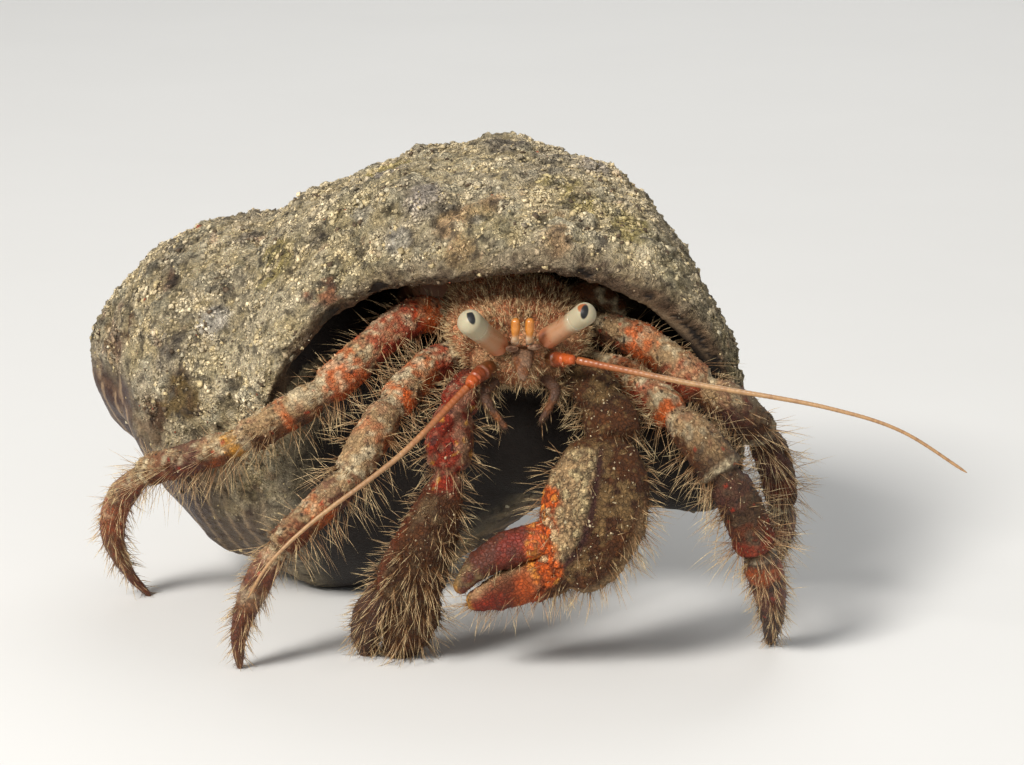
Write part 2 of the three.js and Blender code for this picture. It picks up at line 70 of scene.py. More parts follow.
# ---------------------------------------------------------------- the shell's spiral
APEX = np.array([-48.5, 34.0, 27.0])
SIPHON = np.array([25.6, 9.0, 16.4])
SHELL_LENGTH = float(np.linalg.norm(SIPHON - APEX))
SHELL_AXIS = (SIPHON - APEX) / SHELL_LENGTH
SHELL_UP = np.array([0.0, 0.0, 1.0]) - SHELL_AXIS[2] * SHELL_AXIS
SHELL_UP /= np.linalg.norm(SHELL_UP)
SHELL_FORWARD = np.cross(SHELL_AXIS, SHELL_UP)
GROWTH = math.log(1.88) / TURN  # each whorl is 1.88 times as large as the one before
APEX_OFFSET = 16.0  # from the spiral's own centre to the worn tip of the shell
LIP_ANGLE = math.radians(52)
LIP_CURL_REACH = math.radians(35)
LIP_CURL_DEPTH = 0.1
# Pairs: mm along the axis from the apex, then a radius in mm or, for the lip, degrees.
COLUMELLA = [[0, 1.5], [10, 5], [45, 8], [62, 6.5], [78, 4.5]]
APEX_ROUND = 8.0
SIPHON_ROUND = 4.0
WHORLS = 7
WHORL_PROFILE = [
    [38.5, 16.5], [41, 20.5], [44.5, 24], [48, 26.5], [52, 28.5], [58, 31.5], [64, 33],
    [70, 34], [76, 34.2], [82, 33.4], [88, 31], [93, 26.5], [97, 21.5], [102, 15.5], [109, 9],
]
LIP_LINE = [
    [18, 60], [25, 54], [29, 40], [32, 16], [35, 2], [40, -6], [46, -8], [54, -12], [62, -18],
    [70, -23], [76, -27], [80, -27],
]
# Rows of knobs: along the axis, breadth, height, phase.
KNOB_ROWS = [(57, 5.0, 1.9, math.radians(-27)), (74, 5.5, 1.7, math.radians(-19))]
KNOBS_PER_WHORL = 8
# Lone knobs and worn hollows: along the axis, degrees round it, breadth, height.
SWELLINGS = [
    (17.5, -58, 6.5, 1.8), (43.6, -62, 4, 1.9), (51.4, -59, 2.6, -0.8), (35, -62, 4, 0.8),
    (59, -60, 4, 0.9), (43.4, -24, 2.8, 0.9), (7, 87, 5, -1), (5.4, 37, 4, -0.9),
]
STREAK_WAY = np.array([0.77, 0.1, 0.63])  # the way that the crust is drawn out
# The hollow: its middle and reach along the axis, its walls, and where it runs round.
HOLLOW_MIDDLE, HOLLOW_REACH, HOLLOW_WALL, HOLLOW_FLOOR, HOLLOW_LEAST = 69, 26, 2.6, 0.9, 0.3
HOLLOW_START, HOLLOW_WIDENING = 0.12, 2.2
HOLLOW_FROM, HOLLOW_TO = math.radians(50), math.radians(-215)
SHELL_FACES = (20000, 99000)  # fewer or more than this and the hollow wasn't cut cleanly
GRAINS_PER_PIECE = 24000

# ---------------------------------------------------------------- the crab's limbs
# Stations are x, y, z, half width, half height. `side` is the way that the width lies, and
# `joints` are the stations where one piece of a leg meets the next.
LEG_PIECES = ("merus", "carpus", "propodus", "dactyl")
LEGS = {
    "front_right": {
        "side": [0.45, -0.6, -0.65],
        "joints": [0, 2, 4, 6, 9],
        "stations": [
            [-5.4, 4.6, 31.6, 1.9, 2.3], [-9, 2.2, 30.6, 2.1, 2.5],
            [-12.8, -2.6, 27.6, 2.1, 2.4], [-15.2, -6, 24.6, 2.3, 2.6],
            [-17.4, -8.2, 21.1, 2.1, 2.3], [-21.4, -9.4, 17.2, 2, 2.3],
            [-24.9, -10, 13.7, 1.8, 2], [-27.6, -10.4, 9, 1.5, 1.8],
            [-29.2, -9.9, 4, 0.9, 1.1], [-29.3, -8.8, -0.1, 0.4, 0.4],
        ],
    },
    "rear_right": {
        "side": [0.25, -0.9, -0.2],
        "joints": [0, 2, 4, 6, 10],
        "stations": [
            [-6.6, 9.5, 34.4, 1.8, 2.1], [-10.6, 7.2, 35.2, 2.1, 2.3],
            [-20.6, 2.4, 27.9, 2, 2.3], [-25, 1.8, 25.2, 2, 2.2],
            [-29.5, 2.5, 22.4, 1.8, 2.1], [-35.6, 5.6, 19.4, 1.9, 2.1],
            [-41.2, 10, 16.4, 1.7, 1.9], [-44.2, 12, 12.8, 1.5, 1.8],
            [-45.2, 13.8, 8.2, 1.3, 1.5], [-43.8, 16, 3.2, 0.7, 0.8],
            [-41.5, 17.2, -0.1, 0.4, 0.4],
        ],
    },
    "front_left": {
        "side": [-0.5, -0.6, -0.6],
        "joints": [0, 2, 4, 6, 9],
        "stations": [
            [8, 5.4, 30.2, 1.9, 2.2], [12.8, 1.4, 29.6, 2.1, 2.4],
            [17.4, -4, 26.8, 2.1, 2.4], [20.4, -6.8, 24.2, 2.5, 2.8],
            [22.6, -8.4, 21.4, 2.4, 2.6], [24.6, -9, 17.4, 2.5, 2.7],
            [26.2, -8.6, 13.2, 2.3, 2.4], [27.5, -6.6, 9, 2, 2.1],
            [28.3, -3.4, 4, 1.4, 1.5], [28.3, -0.2, -0.1, 0.5, 0.5],
        ],
    },
    "rear_left": {
        "side": [-0.6, -0.75, -0.3],
        "joints": [0, 2, 4, 6, 9],
        "stations": [
            [8.4, 9, 33.8, 1.8, 2.1], [13.8, 4.6, 33.1, 2.1, 2.4],
            [20.8, -0.4, 28.8, 2.2, 2.5], [24.4, 0.4, 26.4, 2.4, 2.6],
            [27.2, 3.6, 22.8, 2.1, 2.3], [29.2, 7.4, 18, 2.1, 2.3],
            [30.2, 11.6, 13, 1.8, 2], [30.6, 15.4, 8.6, 1.5, 1.8],
            [30.4, 19.4, 3.8, 0.8, 1], [29.8, 21.8, -0.1, 0.4, 0.4],
        ],
    },
}
PROP_LEGS = {
    "right": [
        [-6.8, 12, 34.8, 1, 1.1], [-9.4, 12.4, 35, 1.2, 1.3], [-11.2, 14.2, 33, 1.1, 1.2],
        [-10.6, 16, 30.4, 0.5, 0.6],
    ],
    "left": [
        [6, 12.6, 36.6, 1, 1.1], [9.4, 13.6, 36.4, 1.2, 1.3], [11.8, 15.4, 34, 1.1, 1.2],
        [11.4, 16.6, 31.6, 0.5, 0.6],
    ],
}
CLAWS = {
    "right": {
        "side": [1, 0.2, 0],
        "arm": [
            [-2.4, 2.6, 29.6, 1.9, 1.9], [-4.4, -1.8, 29.6, 2.2, 2.1],
            [-5.8, -5, 28, 2.3, 2.1], [-6.6, -7.4, 24.8, 2.8, 2.4],
            [-6.7, -8.4, 21.6, 2.3, 2.1],
        ],
        "palm": [
            [-6.8, -8.6, 21.2, 1.9, 1.9], [-7.7, -9.2, 18.4, 2.7, 2.4],
            [-9.2, -9.2, 14.4, 3.5, 2.9], [-10.7, -8.6, 10.4, 4, 3],
            [-11.5, -7.8, 7.2, 3.5, 2.6],
        ],
        "fixed": [
            [-10, -8, 9.4, 2.4, 2.1], [-10.4, -6.8, 5.6, 3, 2.3], [-11.3, -5.4, 2.6, 2.8, 2],
            [-12.4, -4.4, -0.1, 1.8, 1.3],
        ],
        "moving": [
            [-13.5, -8, 8.6, 1.9, 1.9], [-15.3, -6.6, 5.4, 2.1, 2], [-15.9, -5, 2.4, 1.75, 1.6],
            [-15.7, -3.9, -0.1, 1, 0.9],
        ],
    },
    "left": {
        "side": [0.95, -0.1, 0.3],
        "arm": [
            [4.6, 2.4, 30.6, 2.1, 2.1], [8, -1.6, 30.2, 2.6, 2.4], [9.6, -4.4, 28.6, 2.8, 2.5],
            [10.6, -6.2, 26.6, 3.2, 2.8], [11, -7.8, 24.6, 3, 2.7],
        ],
        "palm": [
            [9.8, -8.2, 24.4, 4, 2.9], [9.4, -9.8, 21.5, 5.6, 3.7], [8.6, -11.2, 17.8, 6, 4],
            [7.1, -12, 14.2, 5.2, 3.7], [4.6, -12.4, 11.4, 3.4, 2.9],
        ],
        "fixed": [
            [6, -12.2, 12.2, 2.6, 2.6], [2.4, -12.8, 11, 2.4, 2.4], [-1.3, -13, 9.8, 2, 2.1],
            [-4.8, -12.8, 8.6, 1.1, 1.15],
        ],
        "moving": [
            [3.6, -12.1, 15.6, 2, 2.1], [-0.6, -12.8, 14.5, 2.1, 2.2],
            [-3.6, -13, 12.7, 1.7, 1.85], [-5.9, -13, 9.9, 0.85, 0.85],
        ],
    },
}
ARM_ELBOW = 2  # the station of the arm where its merus meets its carpus
TRUNK = [
    [1.2, -3.2, 32.6, 4.6, 2.7], [1.1, -0.5, 32.9, 6.6, 3.9], [0.8, 4, 34, 7.6, 4.7],
    [-0.6, 9, 35.6, 7.2, 4.8], [-2.6, 14, 36.6, 6.2, 4.6],
]
ABDOMEN_ANGLES = (-62, -85, -110, -135, -160, -185)
ABDOMEN_WIDTH = (6, 6.2, 5.6, 4.8, 3.9, 2.6)
ABDOMEN_RADIUS, ABDOMEN_STATION = 17, 65
EYES = {
    "right": [[-1.2, -3.6, 34.2, 1.25, 1.25], [-3, -6, 36.3, 1.2, 1.2],
              [-5, -8.7, 38.7, 1.45, 1.45]],
    "left": [[3.4, -3.6, 35, 1.2, 1.2], [5.9, -5.6, 37.1, 1.1, 1.1],
             [8.4, -7.8, 39.4, 1.3, 1.3]],
}
CORNEA_FROM = 1.35  # the place on the eyestalk where the eye begins
ANTENNULES = {
    "right": [[0.3, -4.3, 35, 0.5, 0.5], [0.35, -6.3, 36, 0.46, 0.46],
              [0.4, -6.9, 38.2, 0.4, 0.4]],
    "left": [[1.9, -4.3, 35, 0.5, 0.5], [1.85, -6.3, 36, 0.46, 0.46],
             [1.9, -6.9, 38.2, 0.4, 0.4]],
}
ANTENNULE_BASE = [[1.1, -3.6, 34, 1.3, 0.8], [1.15, -6, 33.2, 1.1, 0.8],
                  [1.2, -7.8, 31.6, 0.4, 0.4]]
ANTENNAE = {
    "right": {
        "base": [[-2.1, -3, 32, 1, 1], [-3.6, -5.6, 31.7, 0.9, 0.9],
                 [-4.6, -7.4, 31, 0.6, 0.6]],
        "whip": [
            [-4.7, -7.5, 30.9, 0.42, 0.42], [-11.7, -13, 24.9, 0.34, 0.34],
            [-21.4, -16.5, 18.1, 0.28, 0.28], [-25.6, -17.4, 14, 0.26, 0.26],
            [-27.6, -17.4, 10.6, 0.25, 0.25],
        ],
    },
    "left": {
        "base": [[4, -3, 32.8, 1, 1], [5.1, -5.2, 33.3, 0.85, 0.85],
                 [6.6, -7.2, 33.8, 0.55, 0.55]],
        "whip": [
            [6.8, -7.4, 33.8, 0.42, 0.42], [17.7, -10.4, 32.2, 0.34, 0.34],
            [33.1, -14.4, 30.3, 0.28, 0.28], [40.2, -16.2, 28.4, 0.26, 0.26],
            [47.1, -17.8, 24.3, 0.25, 0.25],
        ],
    },
}
WHIP_RING = 0.55  # mm from ring to ring along a long feeler
# Small pale scales at the foot of each eyestalk.
OCULAR_SCALES = [
    [[0.2, -4.4, 34.2, 0.7, 0.35], [-0.1, -6, 34.7, 0.6, 0.3], [-0.3, -7.3, 35.1, 0.15, 0.12]],
    [[2.1, -4.4, 34.4, 0.7, 0.35], [2.5, -6, 34.9, 0.6, 0.3], [2.7, -7.3, 35.3, 0.15, 0.12]],
]
MAXILLIPEDS = {
    "right": [[-1.7, -3.2, 30.6, 0.8, 0.7], [-2.9, -5.6, 29.5, 0.65, 0.6],
              [-0.6, -6.4, 25.9, 0.4, 0.4]],
    "left": [[3.4, -3.2, 30.8, 0.8, 0.7], [4.6, -5.6, 29.9, 0.65, 0.6],
             [3, -6.4, 26.6, 0.4, 0.4]],
}


# ---------------------------------------------------------------- colours
def paint(red, green, blue):
    """A colour read off a paint chart, 0 to 255, as the light it gives back."""
    return np.array([((c / 255 + 0.055) / 1.055) ** 2.4 if c > 10 else c / 3295
                     for c in (red, green, blue)])


# Where the big palm carries orange scales, by the root of its moving finger.
ORANGE_TILES = [(3.4, -14.2, 19.8, 1.6), (3, -14.8, 17.2, 1.8), (2.8, -15, 14.6, 2),
                (3.6, -15, 12.6, 1.6)]

CHALK = paint(212, 202, 172)  # pale crumbs of the crust
# Patches on the shell: colour, strength, how ragged, and for each spot x, y, z and reach.
SHELL_PATCHES = [
    ((188, 176, 166), 0.8, 0.5, [(-9.6, 4.6, 48.6, 2.6), (5, 17.5, 51.2, 3), (9, 15, 50.2, 2.6),
                                 (-14, 16, 49.4, 2.4)]),
    ((104, 94, 86), 0.8, 1.0, [(-6.9, 4.4, 48, 1.7), (-0.5, 19.5, 52.2, 2.6),
                               (-38.5, 12.4, 30.7, 3.4), (-15, 14, 47.6, 2.4),
                               (-30, 22, 42, 2.2), (-21, 9, 44, 1.6), (9, -0.6, 44.6, 1.4)]),
    ((178, 158, 76), 0.7, 1.2, [(7.4, 5.2, 48.5, 2.6), (5.4, 8, 49.6, 2.4), (13, 4, 46, 3),
                                (-26, 12, 40.5, 3.6), (-14, 20, 49.5, 3)]),
    ((216, 172, 124), 0.75, 0.7, [(-6.7, 2.1, 46.1, 1.9), (-4.4, 2.7, 47.4, 1.8),
                                  (-2.2, 3.4, 48.4, 1.6), (4.6, -1.4, 45.4, 2),
                                  (-5.5, -0.4, 44.2, 2)]),
    ((226, 216, 200), 0.85, 0.8, [(-3.6, 1.6, 47, 0.8), (-33, 12.5, 33.6, 1.9),
                                  (-24.4, 10.5, 40.2, 0.9), (-16, 8, 46.6, 1.8),
                                  (-12, 3, 44.6, 1.8)]),
    ((196, 78, 54), 0.8, 1.4, [(-19.7, 3.6, 38.9, 1.6), (-21.6, 4.4, 37.7, 1.2)]),
    ((116, 74, 60), 0.8, 1.0, [(-45.9, 22.8, 28.7, 3.6), (-39.2, 19.9, 36.5, 1.6),
                               (-1.8, 0.2, 46.2, 0.6), (-37, 10.5, 27.5, 1.6)]),
    ((104, 70, 44), 0.95, 0.8, [(-37, 11, 25, 3), (-40.5, 14, 22, 2.6), (-33, 8, 22, 1.8),
                                (-43.5, 20, 31, 1.8), (-27, 15, 42.5, 1.4)]),
]
# Knobs and dents of the crust: x, y, z, reach and height in mm.
SHELL_BUMPS = [
    (-9.2, 4.6, 48.4, 2.2, 1.0), (-1.6, 19.5, 51.8, 2.8, 0.6), (8.7, 16, 50.2, 3.2, 0.5),
    (7.4, 5.2, 48.5, 1.6, 0.8), (-6.4, 2.1, 46.4, 1.3, 0.6), (-4.2, 2.7, 47.5, 1.3, 0.7),
    (-2, 3.4, 48.4, 1.3, 0.6), (3.7, 20.6, 51.2, 1.6, -0.6), (-33, 12.5, 33.6, 1.5, 0.6),
    (-6.2, 7.6, 49.6, 1.5, -0.8), (-8.8, 1.8, 44.8, 1.2, -0.5), (4.8, -1, 45.5, 1.8, 0.6),
    (10.4, 0, 44.2, 1.6, 0.6), (-27, 14, 41.2, 2.2, 0.6), (-39.5, 17, 33, 2, 0.7),
    (14.6, 2.4, 43.9, 2, 0.6), (-37, 12, 28.6, 1.6, -0.6), (-21, 9, 44.2, 1.6, -0.5),
]

# Bands round the legs: place along the leg, half length, colour, strength.
LEG_BANDS = {
    "rear_right": [
        (0.75, 0.35, "orange", 0.9), (1.25, 0.3, "scarlet", 0.75), (1.8, 0.2, "orange", 0.75),
        (2.05, 0.12, "cream", 0.8), (2.9, 0.12, "orange", 0.6), (3.9, 0.14, "cream", 0.6),
        (4.1, 0.12, "amber", 0.8), (4.95, 0.4, "plum", 0.8), (5.4, 0.25, "rust", 0.6),
        (5.9, 0.14, "cream", 0.9), (6.4, 0.3, "rust", 0.6), (7.4, 0.5, "orange", 0.25),
    ],
    "front_right": [
        (0.8, 0.3, "scarlet", 0.8), (1.3, 0.25, "orange", 0.5), (1.88, 0.11, "orange", 0.95),
        (2.1, 0.1, "cream", 0.85), (2.9, 0.2, "orange", 0.3), (3.92, 0.14, "cream", 0.95),
        (4.45, 0.25, "plum", 0.6), (4.8, 0.2, "orange", 0.4), (5.5, 0.3, "rust", 0.8),
        (6.0, 0.12, "cream", 0.85), (6.5, 0.3, "rust", 0.7), (7.1, 0.2, "cream", 0.4),
    ],
    "front_left": [
        (0.9, 0.35, "orange", 0.5), (1.5, 0.2, "scarlet", 0.6), (1.95, 0.13, "orange", 0.8),
        (2.15, 0.1, "cream", 0.6), (3.85, 0.13, "cream", 0.8), (4.4, 0.3, "plum", 0.5),
        (5.3, 0.2, "rust", 0.6), (5.75, 0.25, "scarlet", 0.5), (6.05, 0.1, "cream", 0.5),
        (6.5, 0.26, "orange", 0.45), (7.2, 0.35, "rust", 0.8),
    ],
    "rear_left": [
        (1.1, 0.25, "orange", 0.7), (1.75, 0.2, "scarlet", 0.5), (2.75, 0.35, "plum", 0.7),
        (3.8, 0.16, "cream", 0.6), (4.6, 0.3, "plum", 0.6), (5.3, 0.25, "rust", 0.7),
        (6.0, 0.14, "cream", 0.6), (6.8, 0.35, "rust", 0.8),
    ],
}


def colour_property(name, description, default):
    return FloatVectorProperty(name=name, description=description, subtype="COLOR", size=3,
                               min=0, max=1, default=tuple(default))


def length_property(name, description, default, largest=0.1):
    return FloatProperty(name=name, description=description, subtype="DISTANCE",
                         unit="LENGTH", min=0, max=largest, default=default, precision=5)


class HERMIT_PG_shell(bpy.types.PropertyGroup):
    """The worn shell and what has grown on it."""

    facet: length_property("Facet", "Size of the facets of the shell's surface", 0.00049)
    crust: length_property("Crust", "How thick the sandy crust stands", 0.00042)
    grains: IntProperty(name="Grains", description="Grains of sand set in the crust",
                        default=40000, min=0, max=60000)
    grain_size: length_property("Grain size", "Usual width of a grain", 0.00033)
    sand: colour_property("Sand", "The pale sandy crust", paint(246, 228, 190))
    silt: colour_property("Silt", "Grey-brown silt between the grains", paint(222, 200, 152))
    ash: colour_property("Ash", "Grey film on the crust", paint(146, 134, 124))
    moss: colour_property("Algae", "Yellow-green algae in the crust", paint(176, 160, 98))
    coralline: colour_property("Coralline", "Pink and red coralline patches",
                               paint(176, 106, 84))
    # The rim colour is the lip's own bare brown; darkened, it is also painted shade where the
    # lip turns under.
    rim: colour_property("Rim", "Smooth bare edge of the lip", paint(122, 94, 70))
    # The glaze is the bare shell's own brown, and its darkness is also painted shade over the
    # lower underside.
    glaze: colour_property("Glaze", "Bare glossy shell under the crust", paint(58, 36, 27))
    # Painted shade: the throat colour is near black, standing in for the shadow inside the
    # shell.
    throat: colour_property("Throat", "Inside of the shell", paint(34, 28, 24))


class HERMIT_PG_body(bpy.types.PropertyGroup):
    """The crab's own skins."""

    coat_depth: length_property("Coat depth", "How far the skin lies under the coat", 0.00018)
    tubercle: length_property("Tubercle height", "Height of the bumps on the skin", 0.00022)
    sand: colour_property("Sand", "Fine sand caught on the upper sides", paint(182, 150, 108))
    rose: colour_property("Rose", "Pinkish skin under the sand", paint(166, 112, 86))
    flesh: colour_property("Flesh", "Plain brown of the under sides", paint(110, 64, 30))
    orange: colour_property("Orange", "Bright joint bands", paint(216, 98, 34))
    scarlet: colour_property("Scarlet", "Red bands and spots", paint(164, 50, 24))
    rust: colour_property("Rust", "Dark red-brown of toes and bands", paint(108, 48, 22))
    amber: colour_property("Amber", "Yellow joint spots and claw tips", paint(212, 150, 60))
    cream: colour_property("Cream", "Whitish joint skin", paint(220, 202, 164))
    plum: colour_property("Plum", "Purple-brown streaks", paint(88, 48, 42))
    pit: colour_property("Pit", "Dark pits that the bristles grow from", paint(48, 32, 24))


class HERMIT_PG_coat(bpy.types.PropertyGroup):
    """Bristles and short hair."""

    long_hair: length_property("Bristle", "Length of the longest bristles", 0.0038)
    short_hair: length_property("Short hair", "Length of the short dense hair", 0.0010)
    thickness: length_property("Thickness", "Thickness of a bristle at its root", 0.000067)
    density: FloatProperty(name="Density", description="How many hairs, against the usual",
                           default=1.0, min=0.05, max=2.0, subtype="FACTOR")
    root: colour_property("Root", "Colour of a bristle near the skin", paint(128, 78, 38))
    tip: colour_property("Tip", "Colour of a bristle's end", paint(255, 232, 178))


class HERMIT_PG_head(bpy.types.PropertyGroup):
    """Eyes and feelers."""

    stalk: colour_property("Eyestalk", "Peachy base of the eyestalks", paint(166, 122, 88))
    eye: colour_property("Eye", "Greenish cream of the eyes", paint(170, 160, 132))
    pupil: colour_property("Pupil", "Dark spot of the eye", paint(12, 12, 14))
    fleck: colour_property("Fleck", "Brown fleck beside the left pupil", paint(150, 84, 40))
    antennule: colour_property("Antennule", "Orange-yellow antennules", paint(184, 112, 34))
    whip: colour_property("Whip", "Long feelers near their roots", paint(150, 80, 34))
    whip_end: colour_property("Whip end", "Long feelers near their ends", paint(168, 130, 88))


class HERMIT_PG_stage(bpy.types.PropertyGroup):
    """Floor, lights and camera."""

    floor: colour_property("Floor", "Pale floor", paint(232, 232, 230))
    key: FloatProperty(name="Key light", description="Power of the main soft light",
                       default=12.1, min=0, subtype="POWER", unit="POWER")
    fill: FloatProperty(name="Fill light", description="Power of the weak light opposite",
                        default=1.0, min=0, subtype="POWER", unit="POWER")
    distance: length_property("Distance", "Camera to crab", 0.38, 5)
    elevation: FloatProperty(name="Elevation", description="Camera above the horizon",
                             subtype="ANGLE", unit="ROTATION", default=math.radians(14))


# ---------------------------------------------------------------- patterns in space
def lattice(cells, seed):
    """A repeatable number from 0 to 1 for each whole-number cell."""
    cells = cells.astype(np.int64)
    mixed = (cells[:, 0] * 73856093) ^ (cells[:, 1] * 19349663) ^ (cells[:, 2] * 83492791)
    mixed = (mixed ^ (seed * 2654435761)) & 0xFFFFFFFF
    mixed = ((mixed ^ (mixed >> 13)) * 1274126177) & 0xFFFFFFFF
    return (mixed ^ (mixed >> 16)) / 4294967296.0


def clouds(points, size, seed=0, octaves=1):
    """Soft noise, from -1 to 1, whose lumps are about `size` mm wide."""
    total, weight = np.zeros(len(points)), 0.0
    for octave in range(octaves):
        spot = points * (2**octave / size) + 31.7 * (seed + 1)
        base = np.floor(spot)
        share = spot - base
        share = share * share * (3 - 2 * share)
        value = np.zeros(len(points))
        for corner in itertools.product((0, 1), repeat=3):
            near = np.prod(np.where(corner, share, 1 - share), axis=1)
            value += near * lattice(base + corner, seed + octave)
        total += (2 * value - 1) / 2**octave
        weight += 1 / 2**octave
    return total / weight


def pebbles(points, size, seed=0):
    """For packed pebbles `size` mm apart: distance from the nearest one's middle, in
    pebble widths, that pebble's own number from 0 to 1, and how far the next one is beyond
    it, which is 0 in the cracks between pebbles."""
    spot = points / size + 11.3 * (seed + 1)
    base = np.floor(spot)
    nearest, second = np.full(len(points), 9.0), np.full(len(points), 9.0)
    number = np.zeros(len(points))
    for offset in itertools.product((-1, 0, 1), repeat=3):
        cell = base + offset
        away = np.zeros(len(points))
        for i in range(3):
            away += (cell[:, i] + lattice(cell, seed + 7 * i) - spot[:, i]) ** 2
        closer = away < nearest
        second = np.where(closer, nearest, np.minimum(second, away))
        nearest = np.where(closer, away, nearest)
        number = np.where(closer, lattice(cell, seed + 40), number)
    return np.sqrt(nearest), number, np.sqrt(second) - np.sqrt(nearest)


def crumbs(points, size, seed=0):
    """Packed crumbs with ragged sides: 1 on top of each and 0 in the cracks, and each one's
    own number."""
    ragged = points + 0.3 * size * np.stack(
        [clouds(points, 0.9 * size, seed + 50 + i, 2) for i in range(3)], axis=1)
    _, number, gap = pebbles(ragged, size, seed)
    return smooth(gap, 0.02, 0.38), number


def near_spot(points, place, reach):
    """1 at a place and fading to 0 a few reaches from it."""
    away = ((points - np.array(place)) ** 2).sum(axis=1)
    return np.exp(-away / reach**2)


def smooth(value, start, end):
    """0 before start and 1 after end, turning softly between."""
    share = np.clip((value - start) / (end - start), 0, 1)
    return share * share * (3 - 2 * share)


def blotches(points, size, seed, start, end):
    """Blotches about `size` mm wide: 0 where the noise is under start, 1 where over end."""
    return smooth(clouds(points, size, seed, 2), start, end)


def blend(first, second, share):
    """Mixes colours, or numbers, by a share for each point."""
    share = np.asarray(share)
    if np.ndim(first) > 1 or np.ndim(second) > 1 or np.shape(first) == (3,):
        share = share[:, None]
    return np.asarray(first) * (1 - share) + np.asarray(second) * share


def layered(colours, *coats):
    """Lays colours over one another: each coat is a tint and its share for each point."""
    for tint, share in coats:
        colours = blend(colours, tint, share)
    return colours


def unit(vectors):
    return vectors / np.maximum(np.linalg.norm(vectors, axis=-1, keepdims=True), 1e-9)


# ---------------------------------------------------------------- limbs
STEPS_PER_STATION = 24
POINTS_AT_ONCE = 20000  # in the search for the nearest place, to spare memory


class Limb:
    """A smooth curve through stations, with a width along `side` and a height across it."""

    def __init__(self, stations, side):
        self.stations = np.array(stations, dtype=float)
        self.side = unit(np.array(side, dtype=float))
        self.last = len(stations) - 1
        self.places = np.linspace(0, self.last, STEPS_PER_STATION * self.last + 1)
        self.line = self.at(self.places)
        steps = np.linalg.norm(np.diff(self.line, axis=0), axis=1)
        self.lengths = np.concatenate([[0], np.cumsum(steps)])

    def at(self, places):
        """Points on the curve: a centripetal Catmull-Rom spline."""
        points = self.stations[:, :3]
        ends = 2 * points[0] - points[1], 2 * points[-1] - points[-2]
        points = np.vstack([ends[0], points, ends[1]])
        first = np.clip(np.floor(places).astype(int), 0, self.last - 1)
        share = (np.asarray(places) - first)[:, None]
        p0, p1, p2, p3 = (points[first + i] for i in range(4))
        d0, d1, d2 = (np.sum((a - b) ** 2, axis=1)[:, None] ** 0.25
                      for a, b in ((p1, p0), (p2, p1), (p3, p2)))
        t1 = ((p1 - p0) / d0 - (p2 - p0) / (d0 + d1) + (p2 - p1) / d1) * d1
        t2 = ((p2 - p1) / d1 - (p3 - p1) / (d1 + d2) + (p3 - p2) / d2) * d1
        second = -3 * p1 + 3 * p2 - 2 * t1 - t2
        third = 2 * p1 - 2 * p2 + t1 + t2
        return p1 + share * (t1 + share * (second + share * third))

    def radius(self, places, which):
        """Half width (3) or half height (4) at each place."""
        return np.interp(places, np.arange(self.last + 1), self.stations[:, which])

    def lie(self, places):
        """Directions along, across and up from the limb at each place."""
        low = np.clip(places - 0.01, 0, self.last - 0.02)
        along = unit(self.at(low + 0.02) - self.at(low))
        across = unit(self.side - (along @ self.side)[:, None] * along)
        return along, across, np.cross(across, along)

    def locate(self, points):
        """Where points lie on the limb: place, turn round it, and how many mm they lie
        outside it."""
        index = np.empty(len(points), dtype=int)
        for start in range(0, len(points), POINTS_AT_ONCE):
            part = points[start:start + POINTS_AT_ONCE]
            away = ((part[:, None, :] - self.line[None, :, :]) ** 2).sum(axis=2)
            index[start:start + POINTS_AT_ONCE] = away.argmin(axis=1)
        places = self.places[index]
        along, across, upward = self.lie(places)
        offset = points - self.line[index]
        wide, tall = self.radius(places, 3), self.radius(places, 4)
        x = (offset * across).sum(axis=1) / wide
        y = (offset * upward).sum(axis=1) / tall
        past = np.abs((offset * along).sum(axis=1))
        return (places, np.arctan2(x, y) % TURN,
                (np.hypot(x, y) - 1) * (wide + tall) / 2 + past)


def nearest_limb(limbs, points):
    """Where points lie on each limb, and the number of the limb that is nearest to each."""
    found = [limb.locate(points) for limb in limbs]
    return found, np.stack([away for _, _, away in found]).argmin(axis=0)


def articulated(joints):
    """The swelling of a jointed limb: each piece starts narrow, widens, and ends in a collar
    round the narrow start of the next."""
    joints = np.array(joints, dtype=float)

    def swell(places, turn):
        piece = np.clip(np.searchsorted(joints, places, side="right") - 1, 0, len(joints) - 2)
        share = (places - joints[piece]) / (joints[piece + 1] - joints[piece])
        narrow = 0.24 * (1 - smooth(share, 0, 0.2)) * (piece > 0)
        collar = 0.07 * np.exp(-(((share - 0.87) / 0.09) ** 2))
        drop = 0.26 * smooth(share, 0.94, 1.0) * (piece < len(joints) - 2)
        return 1 - narrow + collar - drop

    return swell


# ---------------------------------------------------------------- meshes
WELD = 2e-6  # corners nearer than this are one, m


def deselect():
    if bpy.context.object and bpy.context.object.mode != "OBJECT":
        bpy.ops.object.mode_set(mode="OBJECT")
    bpy.ops.object.select_all(action="DESELECT")


def pick(piece):
    deselect()
    piece.select_set(True)
    bpy.context.view_layer.objects.active = piece


def vectors(items, key):
    flat = np.empty(len(items) * 3)
    items.foreach_get(key, flat)
    return flat.reshape(-1, 3)


def points_of(piece):
    """The corners of a piece, in the design's millimetres."""
    return vectors(piece.data.vertices, "co") / MM - ORIGIN


def normals_of(piece):
    return vectors(piece.data.vertex_normals, "vector")


def move_points(piece, points):
    piece.data.vertices.foreach_set("co", ((points + ORIGIN) * MM).ravel())
    piece.data.update()


def keep_off_floor(points, height=0.0):
    points[:, 2] = np.maximum(points[:, 2], height)
    return points


